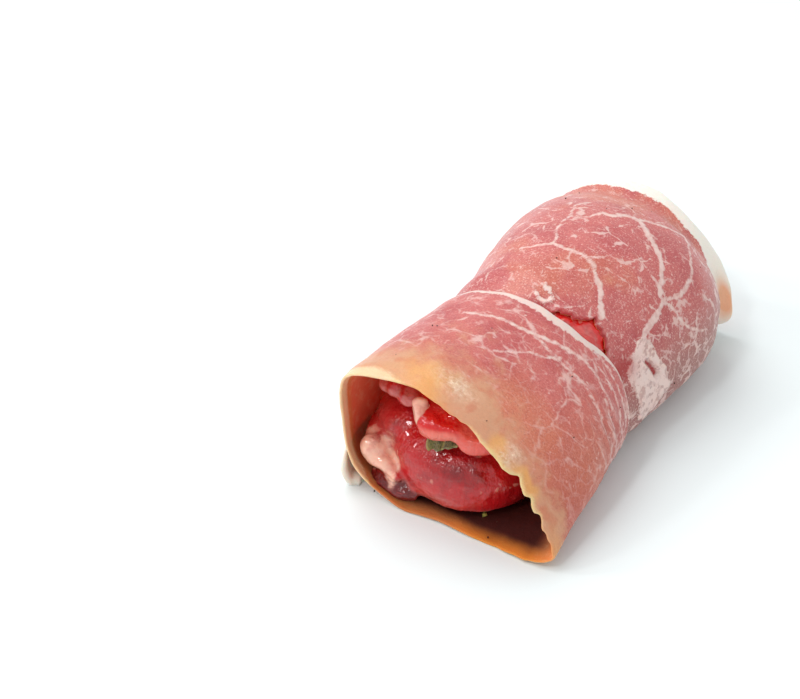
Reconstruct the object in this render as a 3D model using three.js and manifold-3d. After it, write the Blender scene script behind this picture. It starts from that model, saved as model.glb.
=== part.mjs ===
// A raw veal saltimbocca: a folded veal cutlet with a sage leaf in it, wrapped in two slices of cured ham.
// Millimetres. X runs across the roll, Y along it from the open front end to the far end, and Z up from
// the surface it lies on. The origin is on that surface, under the middle of the roll.
import * as THREE from "three";
import { mergeVertices } from "three/addons/utils/BufferGeometryUtils.js";
import Module from "manifold-3d";

const wasm = await Module();
wasm.setup();

// The roll's outer shape, one row for each station along Y. x is the section's extreme left and right, peak
// the x and height of its highest point, and sides the heights of the extreme points. bend holds the
// superellipse exponents of the upper left, upper right, lower left and lower right quarters: 1 is straight,
// 2 is round, and more is boxier.
const STATIONS = [
  { y: -50, x: [-24.9, 25.9], peak: [-7.6, 33.5], sides: [24.3, 3.7], bend: [3.2, 1.47, 3.2, 2.4] },
  { y: -42, x: [-27.4, 26.4], peak: [-7.6, 34.2], sides: [18.8, 7.3], bend: [2.4, 1.45, 4.4, 2.6] },
  { y: -30, x: [-27.6, 25.9], peak: [-7.4, 34.5], sides: [17.3, 9.8], bend: [2.1, 1.6, 4.2, 2.8] },
  { y: -16, x: [-26.4, 24.4], peak: [-4.6, 34.9], sides: [14.8, 11.8], bend: [2.1, 1.75, 3.6, 3] },
  { y: -2, x: [-25.1, 23.9], peak: [-2.1, 37.1], sides: [14.3, 10.8], bend: [2.1, 1.8, 3.2, 3] },
  { y: 10, x: [-26.1, 26], peak: [-0.4, 39.1], sides: [14.8, 11.8], bend: [2.1, 1.9, 3, 3] },
  { y: 25, x: [-27.8, 27.4], peak: [-1.4, 37.7], sides: [15.3, 13.1], bend: [2.1, 2, 3, 3] },
  { y: 36, x: [-28.2, 24.8], peak: [-3, 35], sides: [14.3, 13], bend: [2.1, 2, 3, 3] },
  { y: 42.5, x: [-26.8, 21.2], peak: [-3, 32.6], sides: [13.3, 10.3], bend: [2.1, 1.9, 3, 2.8] },
  { y: 49, x: [-27.2, 25.7], peak: [-1, 33.6], sides: [13.3, 3], bend: [2.1, 1.55, 3, 3] },
];
const MIDDLE = { x: -0.9, y: -1.35 }; // the middle of the whole roll in the table's x and y
const SINK = 0.3; // the roll's weight flattens its underside by this much

const HAM = 1.1; // thickness of a ham slice
const GAP = 0.35; // clearance between pieces that lie on each other
const RIM_THIN = 0.55; // share of the thickness left at a slice's cut edges
const RIM_FADE = 4; // length over which a slice thins to its edge
const OVERLAP = 7; // how far the back slice runs under the front one
const STEP_FADE = 8; // length over which the back slice rises again beyond the front one's edge
const AROUND = { ham: 60, veal: 58 }; // points round a section

// Each slice's loose outer end, lapped down over the left side. It leaves the roll at turn root and ends at
// turn free. lift is how far it then stands off at its front and at its rear, and a curve under 1 makes it
// stand off sooner. inset is how far it stays back from the slice's two cut edges, and round how much more it
// does so at the free edge. Turns are shares of the way round from the underside by +X.
const FRONT_LAP = { root: 0.785, free: 0.858, lift: [4, 2], curve: 1, inset: [1.8, 1.5], round: [2.4, 3] };
const BACK_LAP = { root: 0.74, free: 0.86, lift: [1, 1], curve: 0.8, inset: [11, 2], round: [3, 4] };
const LAP_CALM = 0.4; // share of its length over which a lap's lift changes
const LAP_ROOT = 0.6; // how deep a lap's root is sunk in the slice that it is fused to
const LAP_STEPS = 6;
const LAP_ROWS = { front: 10, back: 12 };

// The folds of the cutlet that show at each end, in the roll's cross-section: x and z are the middle, wide
// and high the half sizes, tilt the slope in degrees, and reach how far the fold stands out of the hollow.
const FRONT_FOLDS = [
  { name: "main", x: -4.3, z: 7.2, wide: 18.3, high: 11.4, tilt: -9, reach: 18.4 },
  { name: "shoulder", x: -15.8, z: 13, wide: 8.8, high: 6.6, tilt: 4, reach: 13.5 },
  { name: "upper", x: -1.6, z: 22.6, wide: 11.5, high: 4, tilt: -11, reach: 16.2 },
  { name: "fat", x: -20.2, z: 8.8, wide: 5.6, high: 5, tilt: -25, reach: 17.2 },
  { name: "dark", x: -14.5, z: 2.6, wide: 10, high: 4.4, tilt: -8, reach: 18.2 },
  { name: "skin", x: -16, z: 23.2, wide: 6.2, high: 3.6, tilt: -10, reach: 12.5 },
];
const FAR_FOLDS = [
  { name: "main", x: -4.5, z: 10.6, wide: 18, high: 9, tilt: 7, reach: 9 },
  { name: "upper", x: -4, z: 23, wide: 14, high: 5, tilt: -8, reach: 7 },
];
// front and far are the depths of the two hollows that the folds stand in, and hub the middle of the cutlet.
// round is the folds' superellipse exponent, steep how steeply they fall off, blend the softness of the
// creases between them, clear the extra clearance to the ham, and wall the share of the way out within which
// the ends round off.
const VEAL = { front: -30, far: 36, rows: 9, round: 2.3, steep: 0.5, blend: 0.6, clear: 0.3, wall: 0.08 };
const HUB = { x: -2, z: 14 };
const GUIDE = 11; // how far out of the hollow the sections lie that the folds are placed in
const END_RINGS = { front: 18, far: 9 };

// The leaf's tip droops to one side by droop degrees, and the rest lies at tilt degrees between the folds.
const LEAF = { x: -3, tip: -46.2, tipZ: 17.5, innerZ: 18.6, droop: 21, tilt: -9, bend: 0.25 };
const LEAF_CURL = { drop: 1.6, length: 2.4 }; // how its front edge curls down
const LEAF_SIZE = { length: 41, width: 15, thick: 0.6, blunt: 0.12, wave: 0.4, steps: 6, rows: 14 };

const { clamp, degToRad, lerp } = THREE.MathUtils;
const smooth = (from, to, value) => THREE.MathUtils.smoothstep(value, from, to);
const bump = (value, middle, width, power = 2) => Math.exp(-(Math.abs((value - middle) / width) ** power));
const wave = (turn, times, phase) => Math.sin(2 * Math.PI * (times * turn + phase));

// Where along the roll each slice starts and ends. turn goes from 0 at the middle of the underside, up the
// right side, over the top at about a half, and down the left side to 1.
const CORNER = { turn: 0.13, width: 0.06, reach: 1.3 }; // the front rim's lower right corner
const PEAK = { turn: 0.64, width: 0.05, reach: 0.6 }; // its upper left one
const frontRim = (turn) =>
  -50 -
  CORNER.reach * bump(turn, CORNER.turn, CORNER.width) -
  PEAK.reach * bump(turn, PEAK.turn, PEAK.width) +
  0.25 * wave(turn, 9, 0.4);
const frontSliceEnd = (turn) => -12.2 + 2.7 * bump(turn, 0.315, 0.057);
const farRim = (turn) => 48.4 - 2 * bump(turn, 0.15, 0.08) + 0.25 * wave(turn, 5, 0.6);

// The back slice is torn where it runs under the front one, and the cutlet shows in the gap.
const TEAR = { turn: 0.397, width: 0.072, open: 1.9 };
const tear = (turn) => bump(turn, TEAR.turn, TEAR.width, 6);
const tearTeeth = (turn) => 3.2 * bump(turn, 0.394, 0.013) + 1.6 * bump(turn, 0.372, 0.014);
const backSliceStart = (turn) =>
  frontSliceEnd(turn) - OVERLAP + (OVERLAP + TEAR.open) * tear(turn) + tearTeeth(turn);

// The station values at a place along the roll, by a cubic through the rows.
const ROWS = STATIONS.map(({ x, peak, sides, bend }) => [...x, ...peak, ...sides, ...bend]);

function slopeAt(row, column) {
  const before = Math.max(row - 1, 0);
  const after = Math.min(row + 1, ROWS.length - 1);
  return (ROWS[after][column] - ROWS[before][column]) / (STATIONS[after].y - STATIONS[before].y);
}

function sizesAt(y) {
  const next = STATIONS.findIndex((station) => station.y > y);
  const row = next < 0 ? STATIONS.length - 2 : Math.max(next - 1, 0);
  const span = STATIONS[row + 1].y - STATIONS[row].y;
  const u = clamp((y - STATIONS[row].y) / span, 0, 1);
  const fromStart = 2 * u ** 3 - 3 * u ** 2 + 1;
  const startSlope = span * (u ** 3 - 2 * u ** 2 + u);
  const endSlope = span * (u ** 3 - u ** 2);
  return ROWS[row].map(
    (value, column) =>
      fromStart * value +
      (1 - fromStart) * ROWS[row + 1][column] +
      startSlope * slopeAt(row, column) +
      endSlope * slopeAt(row + 1, column),
  );
}

// A section's outline as points with their share of the girth, from the middle of the underside round by +X.
const OUTLINE_STEPS = 360;
const outlines = new Map();

function outlinePoint(sizes, angle) {
  const [left, right, peak, top, leftSide, rightSide, upperLeft, upperRight, lowerLeft, lowerRight] = sizes;
  const [c, s] = [Math.cos(angle), Math.sin(angle)];
  const isUp = s >= 0;
  const bendRight = isUp ? upperRight : lowerRight;
  const bendLeft = isUp ? upperLeft : lowerLeft;
  const power = 2 / (c >= 0 ? bendRight : bendLeft);
  const middle = isUp ? peak : (left + right) / 2;
  const side = c >= 0 ? rightSide : leftSide;
  const x = middle + ((c >= 0 ? right : left) - middle) * Math.abs(c) ** power;
  const z = side + ((isUp ? top : 0) - side) * Math.abs(s) ** power;
  return { x, z: Math.max(z - SINK, 0), run: 0 };
}

function outlineAt(y) {
  if (outlines.has(y)) return outlines.get(y);
  const sizes = sizesAt(y);
  const points = [];
  for (let i = 0; i <= OUTLINE_STEPS; i++) {
    const point = outlinePoint(sizes, -Math.PI / 2 + (2 * Math.PI * i) / OUTLINE_STEPS);
    const last = points.at(-1);
    if (last) point.run = last.run + Math.hypot(point.x - last.x, point.z - last.z);
    points.push(point);
  }
  outlines.set(y, points);
  return points;
}

// The point of the roll's outer shape at a turn and a place along it.
function skin(turn, y) {
  const points = outlineAt(y);
  const target = (turn - Math.floor(turn)) * points[OUTLINE_STEPS].run;
  let low = 0;
  let high = OUTLINE_STEPS;
  while (high - low > 1) {
    const between = (low + high) >> 1;
    if (points[between].run <= target) low = between;
    else high = between;
  }
  const [from, to] = [points[low], points[high]];
  const u = (target - from.run) / (to.run - from.run || 1);
  return new THREE.Vector3(lerp(from.x, to.x, u), y, lerp(from.z, to.z, u));
}

const TINY_TURN = 0.008;
const TINY_RUN = 0.4;

// The same point moved out of the shape by a distance, or into it by a negative one.
function skinOffset(turn, y, distance) {
  const point = skin(turn, y);
  const round = skin(turn + TINY_TURN, y).sub(skin(turn - TINY_TURN, y));
  const along = skin(turn, y + TINY_RUN).sub(skin(turn, y - TINY_RUN));
  return point.addScaledVector(along.cross(round).normalize(), distance);
}

// How deep the back slice's outer face lies below the roll's outer shape, where it dives under the front one.
function dive(turn, y) {
  const end = frontSliceEnd(turn);
  return (HAM + GAP) * (1 - 0.8 * tear(turn) ** 4) * (1 - smooth(end, end + STEP_FADE, y));
}

// How deep the cutlet's surface lies below it.
function vealDepth(turn, y) {
  const start = backSliceStart(turn);
  return HAM + GAP + VEAL.clear + dive(turn, y) * smooth(start - 9, start - 1, y);
}

// A closed solid from rings of points, with a fan over each end ring.
function solidOfRings(rings) {
  const count = rings[0].length;
  const positions = rings.flat().flatMap((point) => point.toArray());
  const index = [];
  const corner = (ring, i) => ring * count + (i % count);
  for (let ring = 0; ring + 1 < rings.length; ring++)
    for (let i = 0; i < count; i++) {
      index.push(corner(ring, i), corner(ring, i + 1), corner(ring + 1, i + 1));
      index.push(corner(ring, i), corner(ring + 1, i + 1), corner(ring + 1, i));
    }
  for (const ring of [0, rings.length - 1]) {
    const middle = rings[ring].reduce((sum, point) => sum.add(point), new THREE.Vector3());
    const hub = positions.push(...middle.divideScalar(count).toArray()) / 3 - 1;
    for (let i = 0; i < count; i++) {
      const ends = [corner(ring, i), corner(ring, i + 1)];
      index.push(hub, ...(ring === 0 ? ends.reverse() : ends));
    }
  }
  return solidOf(positions, index);
}

// A slice as a closed solid: a grid of points on its outer face and one on its inner face, joined at the
// edges. outer and inner give a point for a turn and a share along the slice. A round slice closes on itself.
function slice({ turns, steps, rows, round, outer, inner }) {
  const columns = round ? steps : steps + 1;
  const positions = [];
  const index = [];
  for (const face of [outer, inner])
    for (let row = 0; row <= rows; row++)
      for (let i = 0; i < columns; i++)
        positions.push(...face(lerp(turns[0], turns[1], i / steps), row / rows).toArray());
  const at = (side, row, i) => (side * (rows + 1) + row) * columns + (i % columns);
  const quad = (a, b, c, d) => index.push(a, b, c, a, c, d);
  for (let i = 0; i < steps; i++) {
    for (let row = 0; row < rows; row++) {
      quad(at(0, row, i), at(0, row, i + 1), at(0, row + 1, i + 1), at(0, row + 1, i));
      quad(at(1, row, i), at(1, row + 1, i), at(1, row + 1, i + 1), at(1, row, i + 1));
    }
    quad(at(0, 0, i + 1), at(0, 0, i), at(1, 0, i), at(1, 0, i + 1));
    quad(at(0, rows, i), at(0, rows, i + 1), at(1, rows, i + 1), at(1, rows, i));
  }
  for (let row = 0; row < rows && !round; row++) {
    quad(at(0, row, 0), at(0, row + 1, 0), at(1, row + 1, 0), at(1, row, 0));
    quad(at(0, row + 1, steps), at(0, row, steps), at(1, row, steps), at(1, row + 1, steps));
  }
  return solidOf(positions, index);
}

// A solid from points and triangles, which may all be turned inwards.
function solidOf(positions, index) {
  const geometry = new THREE.BufferGeometry();
  geometry.setAttribute("position", new THREE.Float32BufferAttribute(positions, 3));
  geometry.setIndex(index);
  const merged = mergeVertices(geometry, 1e-4);
  const vertProperties = merged.attributes.position.array;
  const build = (triVerts) => new wasm.Manifold(new wasm.Mesh({ numProp: 3, vertProperties, triVerts }));
  const triVerts = new Uint32Array(merged.index.array);
  const solid = build(triVerts);
  return solid.volume() > 0 ? solid : build(triVerts.reverse());
}

function meshOf(name, solid, material) {
  const { numVert, vertProperties, triVerts } = solid.translate([-MIDDLE.x, -MIDDLE.y, 0]).getMesh();
  const geometry = new THREE.BufferGeometry();
  const positions = new Float32Array(vertProperties.subarray(0, numVert * 3));
  geometry.setAttribute("position", new THREE.BufferAttribute(positions, 3));
  geometry.setIndex(new THREE.BufferAttribute(triVerts, 1));
  geometry.computeVertexNormals();
  const mesh = new THREE.Mesh(geometry, material);
  mesh.name = name;
  return mesh;
}

// A slice's thickness at a distance from its nearest cut edge.
const thicknessAt = (edge) => HAM * lerp(RIM_THIN, 1, smooth(0, RIM_FADE, edge));

// The part of a slice that goes right round the roll, between two edges that vary with the turn.
function wrap({ start, end, depth, rows }) {
  const place = (turn, share) => lerp(start(turn), end(turn), share);
  const outer = (turn, share) => skinOffset(turn, place(turn, share), -depth(turn, place(turn, share)));
  const inner = (turn, share) => {
    const y = place(turn, share);
    const thick = thicknessAt(Math.min(y - start(turn), end(turn) - y));
    return skinOffset(turn, y, -depth(turn, y) - thick);
  };
  return slice({ turns: [0, 1], steps: AROUND.ham, rows, round: true, outer, inner });
}

// A slice's loose outer end.
function lap({ root, free, lift, curve, inset, round }, rows, start, end) {
  const rounding = (turn) => smooth(free - 0.04, free, turn);
  const from = (turn) => start(turn) + inset[0] + round[0] * rounding(turn);
  const to = (turn) => end(turn) - inset[1] - round[1] * rounding(turn);
  const out = (turn, share) => {
    const full = lerp(lift[0], lift[1], smooth(0, LAP_CALM, share));
    return (full + LAP_ROOT) * ((turn - root) / (free - root)) ** curve - LAP_ROOT;
  };
  const face = (isOuter) => (turn, share) => {
    const thick = thicknessAt(Math.min(share, 1 - share) * (to(turn) - from(turn)));
    const rise = isOuter ? thick : 0;
    const point = skinOffset(turn, lerp(from(turn), to(turn), share), out(turn, share) + rise);
    point.z = Math.max(point.z, thick - rise);
    return point;
  };
  const [outer, inner] = [face(true), face(false)];
  return slice({ turns: [root, free], steps: LAP_STEPS, rows, round: false, outer, inner });
}

function hamFront() {
  const tube = wrap({ start: frontRim, end: frontSliceEnd, depth: () => 0, rows: 12 });
  return tube.add(lap(FRONT_LAP, LAP_ROWS.front, frontRim, frontSliceEnd));
}

function hamBack() {
  const tube = wrap({ start: backSliceStart, end: farRim, depth: dive, rows: 16 });
  return tube.add(lap(BACK_LAP, LAP_ROWS.back, backSliceStart, farRim));
}

// How much of its reach a fold has at a point of the cross-section: 1 in its middle, 0 beyond its edge.
function foldRise({ x, z, wide, high, tilt }, px, pz) {
  const [c, s] = [Math.cos(degToRad(tilt)), Math.sin(degToRad(tilt))];
  const u = Math.abs(((px - x) * c + (pz - z) * s) / wide);
  const v = Math.abs(((pz - z) * c - (px - x) * s) / high);
  return Math.max(1 - (u ** VEAL.round + v ** VEAL.round), 0) ** VEAL.steep;
}

// How far the cutlet's end stands out at a point of the cross-section. Neighbouring folds meet in a soft
// crease. share is the part of the way from the hub to the ham, where the end rounds off.
function foldReach(folds, share, px, pz) {
  const heights = folds.map((fold) => fold.reach * foldRise(fold, px, pz));
  const total = heights.reduce((sum, height) => sum + Math.exp(height / VEAL.blend), 1);
  const toWall = Math.max((share - 1 + VEAL.wall) / VEAL.wall, 0);
  return VEAL.blend * Math.log(total) * Math.sqrt(1 - toWall ** 2);
}

// A point of the cutlet, a share of the way from its hub to the ham.
function vealPoint(share, turn, y) {
  return new THREE.Vector3(HUB.x, y, HUB.z).lerp(skinOffset(turn, y, -vealDepth(turn, y)), share);
}

// A ring of such points, each at the place along the roll that placeOf gives for its turn.
function vealRing(share, placeOf) {
  const turns = Array.from({ length: AROUND.veal }, (_, i) => i / AROUND.veal);
  return turns.map((turn) => vealPoint(share, turn, placeOf(turn)));
}

// The rings of one end of the cutlet, from the ham to the middle, closer together near the ham.
function endRings(hollow, direction, folds, count) {
  const shares = Array.from({ length: count }, (_, i) => 1 - ((i + 0.3) / count) ** 1.25);
  return shares.map((share) =>
    vealRing(share, (turn) => {
      const { x, z } = vealPoint(share, turn, hollow + direction * GUIDE);
      return hollow + direction * foldReach(folds, share, x, z);
    }),
  );
}

function vealCutlet() {
  const body = Array.from({ length: VEAL.rows + 1 }, (_, i) =>
    vealRing(1, () => lerp(VEAL.front, VEAL.far, i / VEAL.rows)),
  );
  const front = endRings(VEAL.front, -1, FRONT_FOLDS, END_RINGS.front).reverse();
  const far = endRings(VEAL.far, 1, FAR_FOLDS, END_RINGS.far);
  const whole = solidOfRings([...front, ...body, ...far]);
  return whole.subtract(sageLeaf(GAP));
}

// A thin, gently waved leaf that lies between two folds of the cutlet, with its tip out at the front. With
// room it is larger by that much all round, which makes the pocket that it lies in.
function sageLeaf(room) {
  const { length, width, thick, blunt, wave: ripple, steps, rows } = LEAF_SIZE;
  const face = (side) => (share, run) => {
    const y = LEAF.tip - room + run * (length + 2 * room);
    const along = clamp((y - LEAF.tip) / length, 0, 1);
    const outline = Math.sin(Math.PI * Math.min(lerp(blunt, 1, along), 0.99)) ** 0.75;
    const across = (share - 0.5) * (width * outline + 2 * room);
    const inward = smooth(0, LEAF.bend, along);
    const slope = Math.tan(degToRad(lerp(LEAF.droop, LEAF.tilt, inward)));
    const curled = LEAF_CURL.drop * (1 - smooth(0, LEAF_CURL.length, along * length));
    const level = lerp(LEAF.tipZ, LEAF.innerZ, inward) - curled + ripple * Math.sin(9 * along + across / 3);
    return new THREE.Vector3(LEAF.x + across, y, level + across * slope + side * (thick / 2 + room));
  };
  return slice({ turns: [0, 1], steps, rows, round: false, outer: face(1), inner: face(-1) });
}

const hamMaterial = new THREE.MeshStandardMaterial({ color: 0xcb7a72, roughness: 0.42, metalness: 0 });
const vealMaterial = new THREE.MeshStandardMaterial({ color: 0xb5363a, roughness: 0.32, metalness: 0 });
const leafMaterial = new THREE.MeshStandardMaterial({ color: 0x7f8c53, roughness: 0.85, metalness: 0 });

const roll = new THREE.Group();
roll.add(
  meshOf("ham_slice_front", hamFront(), hamMaterial),
  meshOf("ham_slice_back", hamBack(), hamMaterial),
  meshOf("veal_cutlet", vealCutlet(), vealMaterial),
  meshOf("sage_leaf", sageLeaf(0), leafMaterial),
);

export default roll;
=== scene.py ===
"""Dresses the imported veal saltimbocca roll: marbled cured ham, a wet folded cutlet, a sage leaf and pepper.

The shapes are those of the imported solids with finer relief. They are worked out in millimetres on the
roll's own table, where x runs across the roll, y along it from the open mouth, and z up. A turn is a share
of the way round a section, from the middle of the underside up the right side and over the top.
"""

import math
from types import SimpleNamespace

import bpy
import numpy as np
from bpy.props import FloatProperty, FloatVectorProperty, IntProperty, PointerProperty
from mathutils import Matrix, Vector


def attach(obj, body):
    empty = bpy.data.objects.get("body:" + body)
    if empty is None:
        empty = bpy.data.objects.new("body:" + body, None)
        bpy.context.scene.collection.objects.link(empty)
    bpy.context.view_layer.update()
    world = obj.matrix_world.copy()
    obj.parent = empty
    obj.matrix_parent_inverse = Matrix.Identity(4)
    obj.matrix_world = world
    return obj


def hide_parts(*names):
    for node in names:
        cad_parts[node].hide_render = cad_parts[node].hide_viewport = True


bl_info = {
    "name": "Veal Saltimbocca Roll",
    "version": (1, 0, 0),
    "blender": (4, 5, 0),
    "location": "3D View > Sidebar > Saltimbocca",
    "description": "Dresses a roll of veal, cured ham and sage",
    "category": "Object",
}

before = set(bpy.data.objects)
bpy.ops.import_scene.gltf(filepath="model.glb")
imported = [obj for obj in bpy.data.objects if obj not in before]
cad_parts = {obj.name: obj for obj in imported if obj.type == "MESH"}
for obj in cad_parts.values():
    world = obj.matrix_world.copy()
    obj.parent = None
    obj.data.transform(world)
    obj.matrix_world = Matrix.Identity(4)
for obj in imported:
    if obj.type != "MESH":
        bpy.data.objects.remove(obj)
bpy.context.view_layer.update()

MM = 0.001
BODY = "root"
MIDDLE = np.array([-0.9, -1.35, 0.0])  # the middle of the whole roll on its table

# The roll's outer shape, one row for each station along y. x is the section's extreme left and right, peak
# the x and height of its highest point, and sides the heights of the extreme points. bend holds the
# superellipse exponents of the upper left, upper right, lower left and lower right quarters.
STATIONS = (
    {"y": -50, "x": (-24.9, 25.9), "peak": (-7.6, 33.5), "sides": (24.3, 3.7), "bend": (3.2, 1.47, 3.2, 2.4)},
    {"y": -42, "x": (-27.4, 26.4), "peak": (-7.6, 34.2), "sides": (18.8, 7.3), "bend": (2.4, 1.45, 4.4, 2.6)},
    {"y": -30, "x": (-27.6, 25.9), "peak": (-7.4, 34.5), "sides": (17.3, 9.8), "bend": (2.1, 1.6, 4.2, 2.8)},
    {"y": -16, "x": (-26.4, 24.4), "peak": (-4.6, 34.9), "sides": (14.8, 11.8), "bend": (2.1, 1.75, 3.6, 3)},
    {"y": -2, "x": (-25.1, 23.9), "peak": (-2.1, 37.1), "sides": (14.3, 10.8), "bend": (2.1, 1.8, 3.2, 3)},
    {"y": 10, "x": (-26.1, 26), "peak": (-0.4, 39.1), "sides": (14.8, 11.8), "bend": (2.1, 1.9, 3, 3)},
    {"y": 25, "x": (-27.8, 27.4), "peak": (-1.4, 37.7), "sides": (15.3, 13.1), "bend": (2.1, 2, 3, 3)},
    {"y": 36, "x": (-28.2, 24.8), "peak": (-3, 35), "sides": (14.3, 13), "bend": (2.1, 2, 3, 3)},
    {"y": 42.5, "x": (-26.8, 21.2), "peak": (-3, 32.6), "sides": (13.3, 10.3), "bend": (2.1, 1.9, 3, 2.8)},
    {"y": 49, "x": (-27.2, 25.7), "peak": (-1, 33.6), "sides": (13.3, 3), "bend": (2.1, 1.55, 3, 3)},
)
SINK = 0.3  # the roll's weight flattens its underside by this much
GIRTH = 150.0  # about how far it is round the roll

GAP = 0.35  # between the front slice and the tucked end of the back one
RIM_THIN = 0.55  # share of a slice's thickness left at its cut edges
RIM_FADE = 4.0  # how far from a cut edge a slice is thinner
OVERLAP = 7.0  # how far the back slice is tucked under the front one
STEP_FADE = 8.0  # how far past the front slice the back one takes to come up
SWELL = 1.8  # how far the cutlet bulges into the tear
# The tear beside the front slice: its middle and half width in turns, how far it gapes, and where its middle
# lies along the roll.
TEAR = {"turn": 0.397, "width": 0.072, "open": 1.9, "place": -9.0}

# Where the slices are cut, along the roll.
FRONT_RIM = -50.0
FRONT_END = -12.2
FAR_RIM = 48.4
# Small nicks in the front rim and teeth in the tear: depth, and middle and width in turns.
RIM_NICKS = ((1.1, 0.322, 0.007), (0.8, 0.287, 0.006), (0.9, 0.252, 0.009))
TEAR_TEETH = ((3.2, 0.394, 0.013), (1.6, 0.372, 0.014))

# The slices' loose ends, over the left side. root and free are the turns of the root and the free edge, lift
# is how high that edge stands at the front and at the far end, and curve is the power of the rise to it.
# inset is how far the lap's ends stay back from the slice's own, round how much more they do at the free
# corners, and plump how much thicker the front corner is.
FRONT_LAP = {
    "root": 0.785,
    "free": 0.858,
    "lift": (4.2, 2.0),
    "curve": 1.0,
    "inset": (1.4, 1.5),
    "round": (2.4, 3),
    "plump": 1.6,
}
BACK_LAP = {
    "root": 0.74,
    "free": 0.86,
    "lift": (1.0, 1.0),
    "curve": 0.8,
    "inset": (11, 2),
    "round": (3, 4),
    "plump": 0.0,
}
LAP_PROUD = 0.1  # how far a lap's root stands out of the slice
LAP_CALM = 0.4  # share of its length over which a lap's lift changes
LAP_CORNER = 0.04  # how far from its free edge, in turns, a lap's corners are rounded

# The folds of the cutlet that show at each end: middle, half sizes, slope in degrees and reach.
FRONT_FOLDS = (
    {"name": "main", "x": -4.3, "z": 7.2, "wide": 18.3, "high": 11.4, "tilt": -9, "reach": 18.4},
    {"name": "shoulder", "x": -15.8, "z": 13, "wide": 8.8, "high": 6.6, "tilt": 4, "reach": 13.5},
    {"name": "upper", "x": -1.6, "z": 22.6, "wide": 11.5, "high": 4.0, "tilt": -11, "reach": 16.2},
    {"name": "fat", "x": -20.2, "z": 8.8, "wide": 5.6, "high": 5, "tilt": -25, "reach": 17.2},
    {"name": "dark", "x": -14.5, "z": 2.6, "wide": 10, "high": 4.4, "tilt": -8, "reach": 18.2},
    {"name": "skin", "x": -16, "z": 23.2, "wide": 6.2, "high": 3.6, "tilt": -10, "reach": 12.5},
)
FAR_FOLDS = (
    {"name": "main", "x": -4.5, "z": 10.6, "wide": 18, "high": 9, "tilt": 7, "reach": 9},
    {"name": "upper", "x": -4, "z": 23, "wide": 14, "high": 5, "tilt": -8, "reach": 7},
)
# The cutlet: where its hollows end, how round and steep its folds are and how softly they blend, how far it
# stays clear of the ham, and the share of the way in from the ham over which the folds slope down to it.
VEAL = {"front": -30, "far": 36, "round": 2.3, "steep": 0.5, "blend": 0.6, "clear": 0.3, "wall": 0.08}
VEAL_RINGS = {"body": 110, "front": 70, "far": 40}
VEAL_COLUMNS = 300
VEAL_LOWEST = 0.2  # the cutlet stays this high over the floor
HUB = np.array([-2.0, 0.0, 14.0])  # the middle that the cutlet's rings draw in to
GUIDE = 11.0  # how far out of the hollow the folds' outlines are read

# The leaf: where it lies across the roll, where its tip is, the heights of its tip and of the part further
# in, its slope across there in degrees, and the share of its length over which it changes.
LEAF = {"x": -3, "tip": -46.2, "tip_z": 17.5, "inner_z": 18.6, "droop": 21, "tilt": -9, "bend": 0.25}
# The tip's curl, the frill along it and the fine scallops of the leaf's edge.
LEAF_CURL = {"drop": 1.6, "length": 2.4, "back": 0.9}
LEAF_FRILL = {"height": 0.35, "rate": 2.2, "start": 0.6}
LEAF_SCALLOP = {"depth": 0.035, "rate": 95, "slant": 1.5}
LEAF_BLUNT = 0.12  # share of the outline that is left out at the blunt tip


def srgb(red, green, blue):
    """A display colour of 0 to 255 a channel, as the linear colour that Blender keeps."""
    shares = (value / 255 for value in (red, green, blue))
    return tuple(share / 12.92 if share < 0.04045 else ((share + 0.055) / 1.055) ** 2.4 for share in shares)


def colour(name, description, red, green, blue):
    """A colour setting, given as a display colour."""
    return FloatVectorProperty(
        name=name,
        description=description,
        default=srgb(red, green, blue),
        subtype="COLOR",
        min=0,
        max=1,
    )


def share(name, description, default):
    """A setting from 0 to 1."""
    return FloatProperty(name=name, description=description, default=default, min=0, max=1, subtype="FACTOR")


def length(name, description, millimetres):
    """A length setting, given in millimetres and kept in metres."""
    return FloatProperty(
        name=name,
        description=description,
        default=millimetres * MM,
        min=0,
        unit="LENGTH",
        subtype="DISTANCE",
        precision=4,
    )


def power(name, description, watts):
    """A light's power."""
    return FloatProperty(name=name, description=description, default=watts, min=0, unit="POWER")


def angle(name, description, degrees):
    """An angle setting, given in degrees and kept in radians."""
    return FloatProperty(name=name, description=description, default=math.radians(degrees), subtype="ANGLE")


class SaltimboccaHam(bpy.types.PropertyGroup):
    """Sizes and colours of the two ham slices."""

    thickness: length("Thickness", "Thickness of a ham slice", 1.1)
    spacing: length("Mesh spacing", "Distance between mesh points on a slice", 0.5)
    relief: length("Relief", "Height of the slices' soft unevenness", 0.32)
    vein: length("Marbling cell", "Distance between the finer veins of fat", 8.5)
    lean: colour("Lean", "Colour of the lean ham", 202, 108, 104)
    lean_deep: colour("Deep lean", "Colour of the deeper patches of lean", 188, 88, 88)
    # Mixed in low on the right side, where the lean is made darker and browner.
    flank: colour("Dry lean", "Colour of the drier lean low on the sides", 152, 104, 96)
    warm: colour("Warm lean", "Colour of the lean that shines through near the rim", 210, 124, 94)
    fat: colour("Fat", "Colour of the veins and edges of fat", 236, 206, 198)
    cream: colour("Cream fat", "Colour of the thick fat at the far end", 242, 236, 226)
    tan: colour("Rim", "Colour of the cured ham near the front rim", 210, 162, 126)
    gold: colour("Gold", "Colour of the yellow patches on the rim", 228, 172, 98)
    inside: colour("Inside", "Colour of the slice's inner face", 226, 134, 46)
    wetness: share("Wetness", "How moist the slices look", 0.3)


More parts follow.
